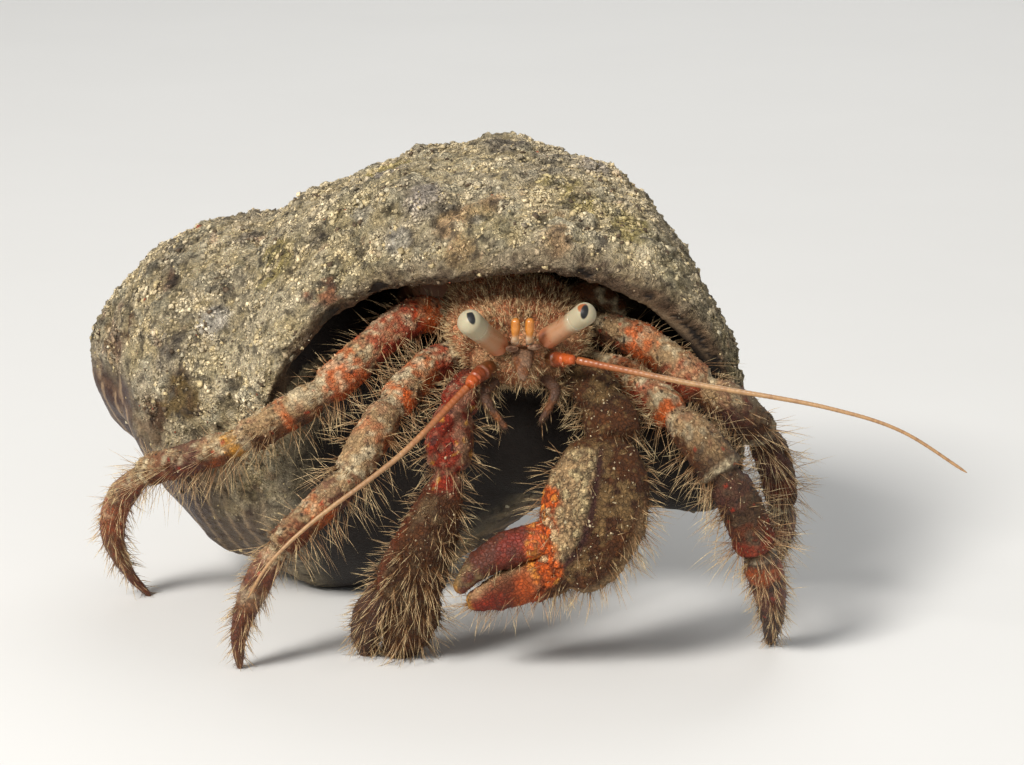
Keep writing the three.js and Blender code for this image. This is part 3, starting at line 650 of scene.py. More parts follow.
def wrap_grid(name, columns, rows, place):
    """A flat grid wrapped into a closed skin: place(share round, share along) gives corners.
    Its long edges meet, and each end is drawn to a point."""
    deselect()
    bpy.ops.mesh.primitive_grid_add(x_subdivisions=columns, y_subdivisions=rows, size=1,
                                    location=(0, 0, 0))
    piece = bpy.context.object
    piece.name = piece.data.name = name
    around, along, _ = (vectors(piece.data.vertices, "co") + 0.5).T
    move_points(piece, place(around, along))
    bpy.ops.object.mode_set(mode="EDIT")
    bpy.ops.mesh.select_all(action="SELECT")
    bpy.ops.mesh.remove_doubles(threshold=WELD)
    bpy.ops.mesh.normals_make_consistent(inside=False)
    bpy.ops.object.mode_set(mode="OBJECT")
    return piece


def tube(name, limb, start, end, columns, rows, swell=None, caps=(1.0, 1.0), inset=0.0,
         grow=(0.0, 0.0)):
    """A skin round part of a limb. `caps` is how many mm each end takes to close, and `grow`
    how many mm it runs on past its stations."""
    low, high = np.interp([start, end], limb.places, limb.lengths)
    low, high = low - grow[0], high + grow[1]

    def place(turned, share):
        share = share - 0.6 * np.sin(TURN * share) / TURN
        length = low + (high - low) * share
        places = np.interp(length, limb.lengths, limb.places)
        along, across, upward = limb.lie(places)
        past = length - np.clip(length, 0, limb.lengths[-1])
        centre = limb.at(places) + along * past[:, None]
        turn = turned * TURN
        size = np.ones(len(share)) if swell is None else swell(places, turn)
        for gone, cap in ((length - low, caps[0]), (high - length, caps[1])):
            size = size * np.sqrt(1 - (1 - np.clip(gone / cap, 0, 1)) ** 2)
        width = (limb.radius(places, 3) - inset) * size
        height = (limb.radius(places, 4) - inset) * size
        return keep_off_floor(centre + across * (np.sin(turn) * width)[:, None]
                              + upward * (np.cos(turn) * height)[:, None])

    return wrap_grid(name, columns, rows, place)


def apply_modifier(piece, kind, **settings):
    pick(piece)
    modifier = piece.modifiers.new(kind.title(), kind)
    for key, value in settings.items():
        setattr(modifier, key, value)
    bpy.ops.object.modifier_apply(modifier=modifier.name)


def joined(name, pieces):
    pick(pieces[0])
    for piece in pieces[1:]:
        piece.select_set(True)
    bpy.ops.object.join()
    pieces[0].name = pieces[0].data.name = name
    return pieces[0]


def fused(name, pieces, voxel, smoothing=4):
    """One skin over several pieces, with soft valleys where they meet."""
    piece = joined(name, pieces) if len(pieces) > 1 else pieces[0]
    apply_modifier(piece, "REMESH", mode="VOXEL", voxel_size=voxel * MM, adaptivity=0.0)
    apply_modifier(piece, "SMOOTH", factor=0.5, iterations=smoothing)
    return piece


def raise_skin(piece, height):
    """Lifts each corner of a skin along its normal by so many mm."""
    move_points(piece, keep_off_floor(points_of(piece) + normals_of(piece) * height[:, None]))


def colour_points(piece, colours, **values):
    """Stores the markings, and any other named number, on a piece's corners."""
    count = len(piece.data.vertices)
    layer = piece.data.attributes.new("marking", "FLOAT_COLOR", "POINT")
    layer.data.foreach_set("color", np.column_stack([colours, np.ones(count)]).ravel())
    for name, value in values.items():
        layer = piece.data.attributes.new(name, "FLOAT", "POINT")
        layer.data.foreach_set("value", np.asarray(value, dtype=np.float32))


def smooth_shade(piece):
    pick(piece)
    bpy.ops.object.shade_smooth()


def settle(piece, material, slot, *nodes):
    """Gives a finished piece its material and its place in the frame."""
    piece.data.materials.clear()
    piece.data.materials.append(material)
    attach(piece, "root")
    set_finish(piece, slot)
    if nodes:
        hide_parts(*nodes)


def finish_skin(piece, colours, material, slot, *nodes, **values):
    """Gives a skin its markings, its soft shading, its material and its place."""
    colour_points(piece, colours, **values)
    smooth_shade(piece)
    settle(piece, material, slot, *nodes)


def mesh_from(name, points, corners, sizes):
    """A mesh from arrays: points in design mm, corner numbers face by face, face sizes."""
    mesh = bpy.data.meshes.new(name)
    mesh.vertices.add(len(points))
    mesh.vertices.foreach_set("co", ((points + ORIGIN) * MM).ravel())
    mesh.loops.add(len(corners))
    mesh.loops.foreach_set("vertex_index", corners)
    mesh.polygons.add(len(sizes))
    starts = np.concatenate([[0], np.cumsum(sizes)[:-1]])
    mesh.polygons.foreach_set("loop_start", starts)
    mesh.update(calc_edges=True)
    piece = bpy.data.objects.new(name, mesh)
    bpy.context.scene.collection.objects.link(piece)
    return piece


def sow(piece, count, chance, seed):
    """Picks `count` spots on a piece, where `chance` (one number a corner) allows, by area.
    Returns their points, normals and the corners that they are nearest to."""
    mesh = piece.data
    mesh.calc_loop_triangles()
    corners = np.empty(len(mesh.loop_triangles) * 3, dtype=int)
    mesh.loop_triangles.foreach_get("vertices", corners)
    corners = corners.reshape(-1, 3)
    points, normals = points_of(piece), normals_of(piece)
    a, b, c = (points[corners[:, i]] for i in range(3))
    area = np.linalg.norm(np.cross(b - a, c - a), axis=1)
    weight = area * np.clip(chance, 0, None)[corners].mean(axis=1)
    rng = np.random.default_rng(seed)
    chosen = rng.choice(len(corners), size=count, p=weight / weight.sum())
    first, second = rng.random((2, count))
    over = first + second > 1
    first, second = np.where(over, 1 - first, first), np.where(over, 1 - second, second)
    shares = np.stack([1 - first - second, first, second], axis=1)[:, :, None]
    picked = corners[chosen]
    spots = (points[picked] * shares).sum(axis=1)
    facing = unit((normals[picked] * shares).sum(axis=1))
    return spots, facing, picked[:, 0]


PATCH = 0.003  # width of one bristle's or grain's patch on the unwrap of its skin
HAIR_CLEARANCE, GRAIN_CLEARANCE = 0.03, 0.02  # mm over the floor


def joined_copies(name, points, faces, colours, roots, patch, least):
    """Many small solids alike as one mesh, with a UV map of their patches. `points` and
    `colours` are solid by solid and corner by corner, `roots` the solids' places on the
    unwrap, `patch` where the corners of the faces lie within a solid's own small patch, and
    `least` how far above the floor all of it stays."""
    count, per = points.shape[:2]
    pattern = np.array([corner for face in faces for corner in face])
    corners = (np.arange(count)[:, None] * per + pattern).ravel()
    sizes = np.tile([len(face) for face in faces], count)
    piece = mesh_from(name, keep_off_floor(points.reshape(-1, 3), least), corners, sizes)
    colour_points(piece, np.clip(colours, 0, 1).reshape(-1, 3))
    places = (roots * (1 - PATCH))[:, None] + np.array(patch) * PATCH
    layer = piece.data.uv_layers.new(name="OFBake")
    layer.data.foreach_set("uv", np.clip(places, 0, 1).ravel())
    return piece


def bristles(name, spots, ways, bends, lengths, widths, tints, tips, roots, rings):
    """Joined three-sided bristles that taper to a point. `ways` are their directions at the
    root, `bends` the sideways sweep by the tip, and `roots` their places on the unwrap."""
    count, per = len(spots), rings * 3 + 1
    rng = np.random.default_rng(count + 5)
    ways = unit(ways)
    aside = unit(np.cross(ways, rng.normal(size=(count, 3))))
    other = np.cross(ways, aside)
    steps = np.repeat(np.linspace(0, 1, rings + 1), 3)[:per, None]
    turned = TURN * (np.arange(per) % 3)[:, None] / 3
    radius = widths[:, None, None] / 2 * np.where(steps < 1, 1 - 0.35 * steps, 0)
    points = (spots[:, None]
              + lengths[:, None, None] * (ways[:, None] * steps + bends[:, None] * steps**2)
              + radius * (aside[:, None] * np.cos(turned) + other[:, None] * np.sin(turned)))
    faces, patch = [[0, 2, 1]], [(0, 0), (0.6, 0), (0.3, 0.1)]
    for ring in range(rings):
        low, high = ring / rings, (ring + 1) / rings
        for side in range(3):
            left, right = side / 3, (side + 1) / 3
            here, after = ring * 3 + side, ring * 3 + (side + 1) % 3
            patch += [(left, low), (right, low)]
            if ring < rings - 1:
                faces.append([here, after, after + 3, here + 3])
                patch += [(right, high), (left, high)]
            else:
                faces.append([here, after, per - 1])
                patch.append(((left + right) / 2, 1))
    share = np.clip(steps * 1.15 - 0.1, 0, 1)
    colours = (np.clip(tints, 0, 1)[:, None] * (1 - share)
               + np.clip(tips, 0, 1)[:, None] * share)
    piece = joined_copies(name, points, faces, colours, roots, patch, HAIR_CLEARANCE)
    smooth_shade(piece)
    return piece


def sand_grains(name, spots, facing, widths, colours, roots, seed, sink=0.0, flat=1.0):
    """Joined rough eight-sided grains of sand, or flatter flakes, each half sunk in the skin."""
    count = len(spots)
    rng = np.random.default_rng(seed)
    aside = unit(np.cross(facing, rng.normal(size=(count, 3))))
    other = np.cross(facing, aside)
    squash = (0.6 + 0.6 * rng.random((count, 3))) * [1, 1, flat]
    jitter = rng.normal(scale=0.13, size=(count, 6, 3))
    poles = np.array([[1, 0, 0], [-1, 0, 0], [0, 1, 0], [0, -1, 0], [0, 0, 1], [0, 0, -1]])
    local = (poles[None] * squash[:, None, :] + jitter) * (widths / 2)[:, None, None]
    points = (spots[:, None] + aside[:, None] * local[..., :1] + other[:, None] * local[..., 1:2]
              + facing[:, None] * (local[..., 2:] + (widths * sink)[:, None, None]))
    faces = [[0, 2, 4], [2, 1, 4], [1, 3, 4], [3, 0, 4],
             [2, 0, 5], [1, 2, 5], [3, 1, 5], [0, 3, 5]]
    patch = [(x + face / 12, y) for face in range(8) for x, y in ((0, 0), (0.33, 0), (0.16, 1))]
    return joined_copies(name, points, faces, np.repeat(colours[:, None], 6, axis=1), roots,
                         patch, GRAIN_CLEARANCE)


# ---------------------------------------------------------------- materials
class Nodes:
    """A tree of shader nodes under construction."""

    def __init__(self, tree):
        self.tree = tree

    def feed(self, socket, value):
        """Sets a socket to a value, or links it to another node's output."""
        if isinstance(value, bpy.types.NodeSocket):
            self.tree.links.new(value, socket)
        else:
            socket.default_value = value

    def node(self, kind, settings=None, *ordered, **inputs):
        """A node with its settings, its first inputs in order, and others by name."""
        node = self.tree.nodes.new(kind)
        for key, value in (settings or {}).items():
            setattr(node, key, value)
        for index, value in enumerate(ordered):
            self.feed(node.inputs[index], value)
        for key, value in inputs.items():
            self.feed(node.inputs[key.replace("_", " ")], value)
        return node

    def math(self, operation, first, second, clamp=False):
        return self.node("ShaderNodeMath", {"operation": operation, "use_clamp": clamp},
                         first, second).outputs[0]


class Finish(Nodes):
    """A material under construction, and the shader that its nodes feed."""

    def __init__(self, name, **constants):
        self.material = bpy.data.materials.new(name)
        self.material.use_nodes = True
        super().__init__(self.material.node_tree)
        self.shader = self.tree.nodes["Principled BSDF"]
        for key, value in constants.items():
            socket = key.replace("_", " ").title().replace("Ior", "IOR")
            self.shader.inputs[socket].default_value = value

    def vector(self, operation, *ordered, **inputs):
        return self.node("ShaderNodeVectorMath", {"operation": operation}, *ordered,
                         **inputs).outputs["Vector"]

    def place(self):
        """Object coordinates, in mm."""
        there = self.node("ShaderNodeTexCoord").outputs["Object"]
        return self.vector("SCALE", there, Scale=1000.0)

    def noise(self, where, scale, detail=3.0, roughness=0.6, output="Fac"):
        return self.node("ShaderNodeTexNoise", Vector=where, Scale=scale, Detail=detail,
                         Roughness=roughness).outputs[output]

    def cells(self, where, scale, feature="F1", output="Color"):
        return self.node("ShaderNodeTexVoronoi", {"feature": feature}, Vector=where,
                         Scale=scale).outputs[output]

    def cracks(self, where, scale):
        """How far a place is from the nearest crack between ragged cells."""
        return self.cells(where, scale, "DISTANCE_TO_EDGE", "Distance")

    def stored(self, name, output="Color"):
        return self.node("ShaderNodeAttribute", {"attribute_name": name}).outputs[output]

    def mix(self, kind, share, first, second):
        node = self.node("ShaderNodeMix", {"data_type": "RGBA", "blend_type": kind}, share)
        for index, value in ((6, first), (7, second)):
            self.feed(node.inputs[index], value)
        return node.outputs[2]

    def ragged(self, where, scale, reach):
        """A place shifted by noise, so that patterns come out uneven."""
        shift = self.noise(where, scale, roughness=0.5, output="Color")
        centred = self.vector("SUBTRACT", shift, (0.5, 0.5, 0.5))
        return self.vector("ADD", where, self.vector("SCALE", centred, Scale=2 * reach))

    def tone(self, colour, share, value, dark, light, low=0.3, high=0.7):
        """Darkens and lightens a colour by a pattern."""
        level = self.ramp(value, low, high, dark, light)
        grey = self.node("ShaderNodeCombineColor", None, level, level, level)
        return self.mix("MULTIPLY", share, colour, grey.outputs["Color"])

    def ramp(self, value, low, high, start=0.0, end=1.0):
        """Maps low..high onto start..end."""
        return self.node("ShaderNodeMapRange", Value=value, From_Min=low, From_Max=high,
                         To_Min=start, To_Max=end).outputs["Result"]

    def bump(self, height, distance):
        return self.node("ShaderNodeBump", Height=height, Distance=distance * MM,
                         Strength=1.0).outputs["Normal"]

    def done(self, **sockets):
        for key, value in sockets.items():
            self.feed(self.shader.inputs[key.replace("_", " ")], value)
        return self.material


PLATE_SCALE = 2.2  # how finely the skin breaks up into plates


def crust_finish(name, roughness=(0.55, 0.9), bump=0.12, speckle=0.5, gloss=0.3, cracks=0.5):
    """Hard crab skin with fine sand on it: its markings, broken up at the scale of grains."""
    work = Finish(name, specular_ior_level=gloss)
    where = work.place()
    ragged = work.ragged(where, 2.4, 0.3)
    tile, crack = work.cells(ragged, PLATE_SCALE), work.cracks(ragged, PLATE_SCALE)
    fine = work.noise(where, 6.0, 4.0, 0.7)
    toned = work.tone(work.stored("marking"), speckle, fine, 0.4, 1.5)
    toned = work.tone(toned, 0.6, work.noise(where, 0.9), 0.68, 1.26)
    toned = work.tone(toned, 0.4, tile, 0.6, 1.4)
    toned = work.tone(toned, cracks, crack, 0.3, 1.05, 0.0, 0.14)
    height = work.math("ADD", work.ramp(crack, 0, .2), fine)
    return work.done(Base_Color=toned, Roughness=work.ramp(fine, .3, .7, *roughness),
                     Normal=work.bump(height, bump))


def bristle_finish(name):
    """Stiff bristles, pale and dark by turns along their length: painted glints that stand in
    for the highlights on their beaded shafts.
    """
    work = Finish(name, specular_ior_level=0.35)
    fine = work.noise(work.place(), 5.0, 1.0)
    toned = work.tone(work.stored("marking"), 0.8, fine, 0.45, 1.45, 0.35, 0.65)
    return work.done(Base_Color=toned, Roughness=work.ramp(fine, .3, .7, .3, .5))


def smooth_finish(name, roughness, mottle, scale, bump, **constants):
    """Bare smooth skin: its markings, faintly mottled."""
    work = Finish(name, **constants)
    fine = work.noise(work.place(), scale)
    toned = work.tone(work.stored("marking"), mottle, fine, 0.6, 1.2)
    return work.done(Base_Color=toned, Normal=work.bump(fine, bump),
                     Roughness=work.ramp(fine, .3, .7, roughness * .8, roughness * 1.2))


# ---------------------------------------------------------------- the shell's shape
def on_shell(along, radius, angle):
    turned = LIP_ANGLE + angle
    return (APEX + np.outer(along, SHELL_AXIS) + np.outer(radius * np.cos(turned), SHELL_UP)
            + np.outer(radius * np.sin(turned), SHELL_FORWARD))


def read(table, place):
    table = np.array(table, dtype=float)
    return np.interp(place, table[:, 0], table[:, 1])


def lip_angle(along):
    return np.radians(read(LIP_LINE, along))


def shell_radius(along, angle, first=0):
    """Radius of the shell's outside, from whorl `first` inwards; whorl 0 ends at the lip."""
    radius = read(COLUMELLA, along)
    for whorl in range(first, WHORLS):
        scale = np.exp(GROWTH * (angle - TURN * whorl))
        station = (along + APEX_OFFSET) / scale
        knobs = np.zeros(len(along))
        for at, breadth, height, phase in KNOB_ROWS:
            wave = 0.5 + 0.5 * np.cos(KNOBS_PER_WHORL * (angle - phase))
            knobs += height * np.exp(-(((station - at) / breadth) ** 2)) * wave**2
        held = (station >= WHORL_PROFILE[0][0]) & (station <= WHORL_PROFILE[-1][0])
        reach = (read(WHORL_PROFILE, station) + knobs) * scale
        radius = np.where(held, np.maximum(radius, reach), radius)
    wall = radius
    for at, degrees, breadth, rise in SWELLINGS if first == 0 else ():
        turned = angle - math.radians(degrees)
        round_ = wall * np.arctan2(np.sin(turned), np.cos(turned))
        radius = radius + rise * np.exp(-((along - at) ** 2 + round_**2) / breadth**2)
    radius = radius * np.sqrt(1 - (1 - np.clip(along / APEX_ROUND, 0, 1)) ** 2)
    left = np.clip((SHELL_LENGTH - along) / SIPHON_ROUND, 0, 1)
    radius = radius * np.sqrt(1 - (1 - left) ** 2)
    if first == 0:
        late = (angle - lip_angle(along) + LIP_CURL_REACH) / LIP_CURL_REACH
        radius = radius * (1 - LIP_CURL_DEPTH * np.clip(late, 0, 1) ** 2)
    return radius


def shell_outside():
    """The coil as one closed skin. The last strips close the mouth, which is cut out."""
    coil_columns, mouth_columns, rows = 250, 16, 150
    columns = coil_columns + mouth_columns

    def place(turned, share):
        along = SHELL_LENGTH * (0.5 - 0.5 * np.cos(math.pi * share) * (0.75 + 0.25
                                * np.cos(math.pi * share) ** 2))
        column = turned * columns
        round_ = np.clip(column / coil_columns, 0, 1)
        lip = lip_angle(along)
        angle = lip * (1 - 2 * round_) ** 2 - TURN * round_
        coil = on_shell(along, shell_radius(along, angle), angle)
        first = on_shell(along, shell_radius(along, lip), lip)
        back = np.clip((column - coil_columns) / mouth_columns, 0, 1)[:, None]
        return keep_off_floor(coil * (1 - back) + first * back)

    return wrap_grid("shell_crust", columns, rows, place)


def squared(value):
    return np.sign(value) * np.abs(value) ** 0.75


def shell_hollow():
    """The coiled hollow, as in the solid."""

    def place(turned, share):
        angle = HOLLOW_TO + (HOLLOW_FROM - HOLLOW_TO) * share
        scale = np.exp(GROWTH * angle)
        opened = np.minimum(HOLLOW_START + share * HOLLOW_WIDENING, 0.5)
        width = np.sin(opened * math.pi)
        width = np.where((share <= 0.0001) | (share >= 0.9999), 0, width)
        turn = turned * TURN
        station = HOLLOW_MIDDLE + HOLLOW_REACH * width * squared(np.cos(turn))
        along = np.minimum(station * scale - APEX_OFFSET, SHELL_LENGTH - HOLLOW_WALL)
        held = np.minimum(angle, lip_angle(along))
        outer = (shell_radius(along, held) * np.exp(GROWTH * (angle - held))
                 - HOLLOW_WALL * scale)
        inner = shell_radius(along, angle, 1) + HOLLOW_FLOOR
        half = np.maximum((outer - inner) / 2, HOLLOW_LEAST) * width * squared(np.sin(turn))
        return on_shell(along, (outer + inner) / 2 + half, angle)

    columns, rows = 72, 90
    return wrap_grid("shell_hollow", columns, rows, place)


def shell_places(points):
    """Where points lie on the shell: along its axis, angle round it from the lip, and depth
    under the outside of the last whorl."""
    offset = points - APEX
    along = offset @ SHELL_AXIS
    up, forward = offset @ SHELL_UP, offset @ SHELL_FORWARD
    angle = np.arctan2(forward, up) - LIP_ANGLE
    lip = lip_angle(along)
    angle = lip - ((lip - angle) % TURN)
    return along, angle, shell_radius(along, angle) - np.hypot(up, forward)


class HERMIT_OT_shell(bpy.types.Operator):
    """Builds the worn shell, its crust and the grains of sand in it"""

    bl_idname = "hermit.shell"
    bl_label = "Shell"

    def execute(self, context):
        looks = context.scene.hermit_shell
        piece, hollow = shell_outside(), shell_hollow()
        apply_modifier(piece, "BOOLEAN", operation="DIFFERENCE", object=hollow, solver="EXACT")
        bpy.data.objects.remove(hollow)
        apply_modifier(piece, "REMESH", mode="VOXEL", voxel_size=looks.facet)
        self.worn_spire(piece)
        apply_modifier(piece, "SMOOTH", factor=0.5, iterations=5)
        if not SHELL_FACES[0] < len(piece.data.polygons) < SHELL_FACES[1]:
            raise RuntimeError(f"the shell came out with {len(piece.data.polygons)} faces")
        points = points_of(piece)
        along, angle, depth = shell_places(points)
        # The smooth inner lip, which the colours cover with painted shade.
        lip = self.inner_lip(points, along, angle)
        crusted = (1 - smooth(depth, 1.4, 3.4)) * (1 - lip)
        bare = self.bare_patch(points) * (1 - lip)
        lumps = clouds(points, 8.0, 3, 2)
        streaks = clouds(points - 0.62 * (points @ STREAK_WAY)[:, None] * STREAK_WAY, 1.3, 6, 3)
        patches = blotches(points, 2.6, 5, -0.35, 0.25)
        clods, clod = crumbs(points, 2.5, 2)
        bits, bit = crumbs(points, 1.2, 4)
        pits = blotches(points, 1.9, 9, 0.25, 0.5) * smooth(lumps, 0.4, -0.3)
        height = (0.5 * lumps + 0.4 * patches + clods * (0.15 + 0.7 * clod**2)
                  + 1.1 * bits * bit + 0.7 * streaks - 0.8 * pits - 0.85)
        height *= crusted * (1 - 0.85 * bare) * looks.crust / MM
        bumps = sum(rise * near_spot(points, place, reach)
                    for *place, reach, rise in SHELL_BUMPS) * crusted
        raise_skin(piece, height + bumps)
        level = height / (looks.crust / MM)
        colours, gloss, dark = self.colours(looks, points, along, angle, depth, bare, lip,
                                            pits, level, clod, bit)
        finish_skin(piece, colours, self.finish(), "shell", "shell", gloss=gloss,
                    crust=crusted * (1 - bare))
        self.grains(piece, looks, colours, crusted * (1 - 0.9 * bare), dark, along, angle)
        return {"FINISHED"}

    @staticmethod
    def worn_spire(piece):
        """Wears the early whorls smooth."""
        group = piece.vertex_groups.new(name="spire")
        for index, share in enumerate(smooth(-points_of(piece)[:, 0], 14, 30)):
            if share > 0.02:
                group.add([index], float(share), "REPLACE")
        apply_modifier(piece, "SMOOTH", factor=0.6, iterations=26, vertex_group="spire")

    @staticmethod
    def bare_patch(points):
        """Where the crust has worn off the underside and the back of the early whorls;
        over the lower underside the bare glaze is also painted shade.
        """
        x, _, z = points.T
        low = smooth(-z + 4.0 * clouds(points, 5, 21, 2), -23, -16) * smooth(-x, 26, 36)
        # Painted shade: the bare patch spreads over the lower underside, where shade lies.
        under = smooth(-z + 3 * clouds(points, 4, 22, 2), -17, -11)
        edge = smooth(-z + 2 * clouds(points, 3, 24, 2), -28, -23) * smooth(-x, 41, 44)
        return np.clip(np.maximum(np.maximum(low, under * 0.9), edge), 0, 1)

    @staticmethod
    def inner_lip(points, along, angle):
        """The smooth wall that the crab's legs rub against, under the mouth, painted dark as
        painted shade, since it lies in shadow under the lip.
        """
        behind = angle - (lip_angle(along) - TURN)
        ragged = 0.16 * clouds(points, 3.5, 23, 2)
        return (1 - smooth(behind + ragged, 2.1, 2.7)) * smooth(along, 28, 36)

    @staticmethod
    def colours(looks, points, along, angle, depth, bare, lip, pits, level, clod, bit):
        broad, middle = clouds(points, 9, 31, 3), clouds(points, 2.6, 32, 3)
        fine = clouds(points, 0.9, 33, 2)
        colours = layered(
            looks.silt,
            (looks.sand, smooth(0.5 * middle + 0.6 * fine + 0.55 * level, -0.75, 0.25)),
            (CHALK, 0.6 * (clod > 0.78) * (bit > .4)),
            (looks.ash, 0.35 * blotches(points, 7, 34, 0.1, 0.5)),
            (looks.ash * 0.8, 0.3 * (bit < 0.16) * smooth(level, -1, 0)),
            # Painted shade: the crust dulls towards the shell's end on the crab's left, the side
            # turned away from the key light.
            (paint(124, 110, 84), 0.55 * smooth(points[:, 0] + 4 * broad, 13, 22)))
        for tint, strength, ragged, spots in SHELL_PATCHES:
            for *place, reach in spots:
                share = near_spot(points, place, reach) * (1 + ragged * (fine + middle))
                colours = blend(colours, paint(*tint), strength * smooth(share, 0.2, 0.75))
        mossy = smooth(clouds(points, 6, 35, 2) + 0.4 * fine, 0.15, 0.6)
        spots = blotches(points, 1.7, 36, 0.42, 0.6) * (broad > 0.15)
        colours = layered(colours, (looks.moss, 0.3 * mossy), (looks.coralline, 0.3 * spots))
        # Painted shade: besides the dark pores and blotches, `dark` darkens the crust's low
        # places and worn hollows, where shade falls.
        dark = np.clip(pits * 0.3 + blotches(points, 0.8, 37, 0.22, 0.36) * 0.9
                       + 0.5 * smooth(-level, 0.7, 1.2), 0, 1)
        colours = colours * (1 + 0.25 * np.clip(broad, -0.6, 0.6))[:, None]
        colours = blend(colours, looks.ash * 0.2, dark * 0.8)
        # Bare shell: brown-purple with pale spiral stripes; its dark glaze is also painted shade
        # over the lower underside.
        stripes = 0.5 + 0.5 * np.sin((along + APEX_OFFSET) / np.exp(GROWTH * angle) * 1.5
                                     + 1.2 * clouds(points, 6, 38))
        glaze = layered(looks.glaze, (paint(118, 90, 50), 0.6 * smooth(middle, 0.1, 0.6)),
                        (paint(168, 140, 108), smooth(stripes, 0.84, 0.98) * 0.7))
        # Painted shade: the outside darkens with the rim colour where it turns under towards the
        # lip's edge; the rim colour is also darkened over the lip's cut edge.
        lip_underside_shade = smooth(angle - lip_angle(along) + 0.02 * fine, -0.1, -0.01) * (depth < 3)
        colours = layered(
            colours, (glaze, bare), (looks.rim * 0.8, 0.6 * lip_underside_shade),
            (looks.rim * 0.8, smooth(depth + 0.4 * fine, 0.3, 1.8) * 0.85),
            # Painted shade: the near-black throat colour deep inside the wall and over the
            # smooth inner lip under the mouth.
            (looks.throat, np.maximum(smooth(depth, 2.6, 5.5), lip)))
        gloss = np.clip(np.maximum(bare, 0.5 * np.maximum(smooth(depth, 1.5, 4), lip)), 0, 1)
        return colours, gloss, dark

    @staticmethod
    def finish():
        work = Finish("sandy_shell", specular_ior_level=0.25)
        where = work.place()
        ragged = work.ragged(where, 1.6, 0.45)
        crust = work.stored("crust", "Fac")
        fine = work.noise(where, 4.5, 5.0, 0.75)
        pore, scurf = work.noise(ragged, 1.5, 4.0, 0.75), work.noise(ragged, 2.4, 2.0)
        crumb, flake = work.cells(ragged, 1.5), work.cells(ragged, 3.1)
        crack, hairline = work.cracks(ragged, 1.9), work.cracks(ragged, 4.4)
        # Each pattern's strength on the crust, and how far it darkens and lightens.
        toned = work.tone(work.stored("marking"), work.math("MULTIPLY", crust, 0.35), crumb,
                          0.6, 1.4)
        toned = work.tone(toned, 0.6, fine, 0.6, 1.55)
        for strength, pattern, *levels in (
                (0.8, pore, 0.25, 1.06, 0.37, 0.44), (0.8, scurf, 0.95, 1.5, 0.5, 0.56),
                (0.25, crack, 0.35, 1.1, 0, 0.12), (0.2, hairline, 0.45, 1.1, 0, 0.1)):
            toned = work.tone(toned, work.math("MULTIPLY", crust, strength), pattern, *levels)
        rough = work.math("SUBTRACT", work.ramp(fine, .3, .7, .75, 1.0),
                          work.math("MULTIPLY", work.stored("gloss", "Fac"), 0.45))
        height = work.ramp(crack, 0, .25, 0, 1.2)
        for part in (work.ramp(hairline, 0, .25, 0, .6), work.math("MULTIPLY", fine, 1.5),
                     work.ramp(pore, 0.36, 0.46, -1.5, 0), work.ramp(scurf, 0.49, 0.57, 0, 0.8),
                     work.math("MULTIPLY", crumb, 1.6), work.math("MULTIPLY", flake, 0.8)):
            height = work.math("ADD", height, part)
        height = work.math("MULTIPLY", height, work.ramp(crust, 0, 1, .08, 1))
        return work.done(Base_Color=toned, Roughness=rough, Normal=work.bump(height, 0.4))

    @staticmethod
    def grains(shell, looks, colours, crusted, dark, along, angle):
        """Grains of sand and shell grit, in two pieces."""
        points = points_of(shell)
        clumps = smooth(clouds(points, 1.6, 44, 3), -0.05, 0.3)
        edge = smooth(angle - lip_angle(along), -0.12, -0.03)
        chance = crusted**2 * (0.06 + clumps) * (1 - 0.8 * dark) * (1 - 0.85 * edge)
        finish = crust_finish("shell_grit", (0.6, 0.95), 0.05, 0.6, cracks=0.0)
        count = GRAINS_PER_PIECE
        for part in range(max(1, round(looks.grains / count))):
            spots, facing, nearest = sow(shell, count, chance, 60 + part)
            rng = np.random.default_rng(70 + part)
            widths = looks.grain_size / MM * (0.5 + 0.75 * rng.random(count)
                                              + 2.3 * rng.random(count) ** 10)
            tints = (blend(colours[nearest], looks.sand, np.full(count, 0.12))
                     * (0.5 + 0.58 * rng.random((count, 1))))
            odd = rng.random(count)
            for low, high, tint in (
                    (0, 0.012, paint(214, 202, 172)), (0.02, 0.1, looks.silt * 0.8),
                    (0.1, 0.16, paint(96, 80, 62)), (0.16, 0.163, paint(160, 92, 66))):
                held = (odd >= low) & (odd < high)
                tints[held] = np.array(tint) * (0.75 + 0.4 * rng.random((held.sum(), 1)))
            roots = np.column_stack([(-angle[nearest] / TURN) % 1,
                                     np.clip(along[nearest] / SHELL_LENGTH, 0, 1)])
            piece = sand_grains(f"shell_grit_{part + 1}", spots, facing, widths, tints, roots,
                                80 + part, 0.06, 0.5)
            settle(piece, finish, "shell")


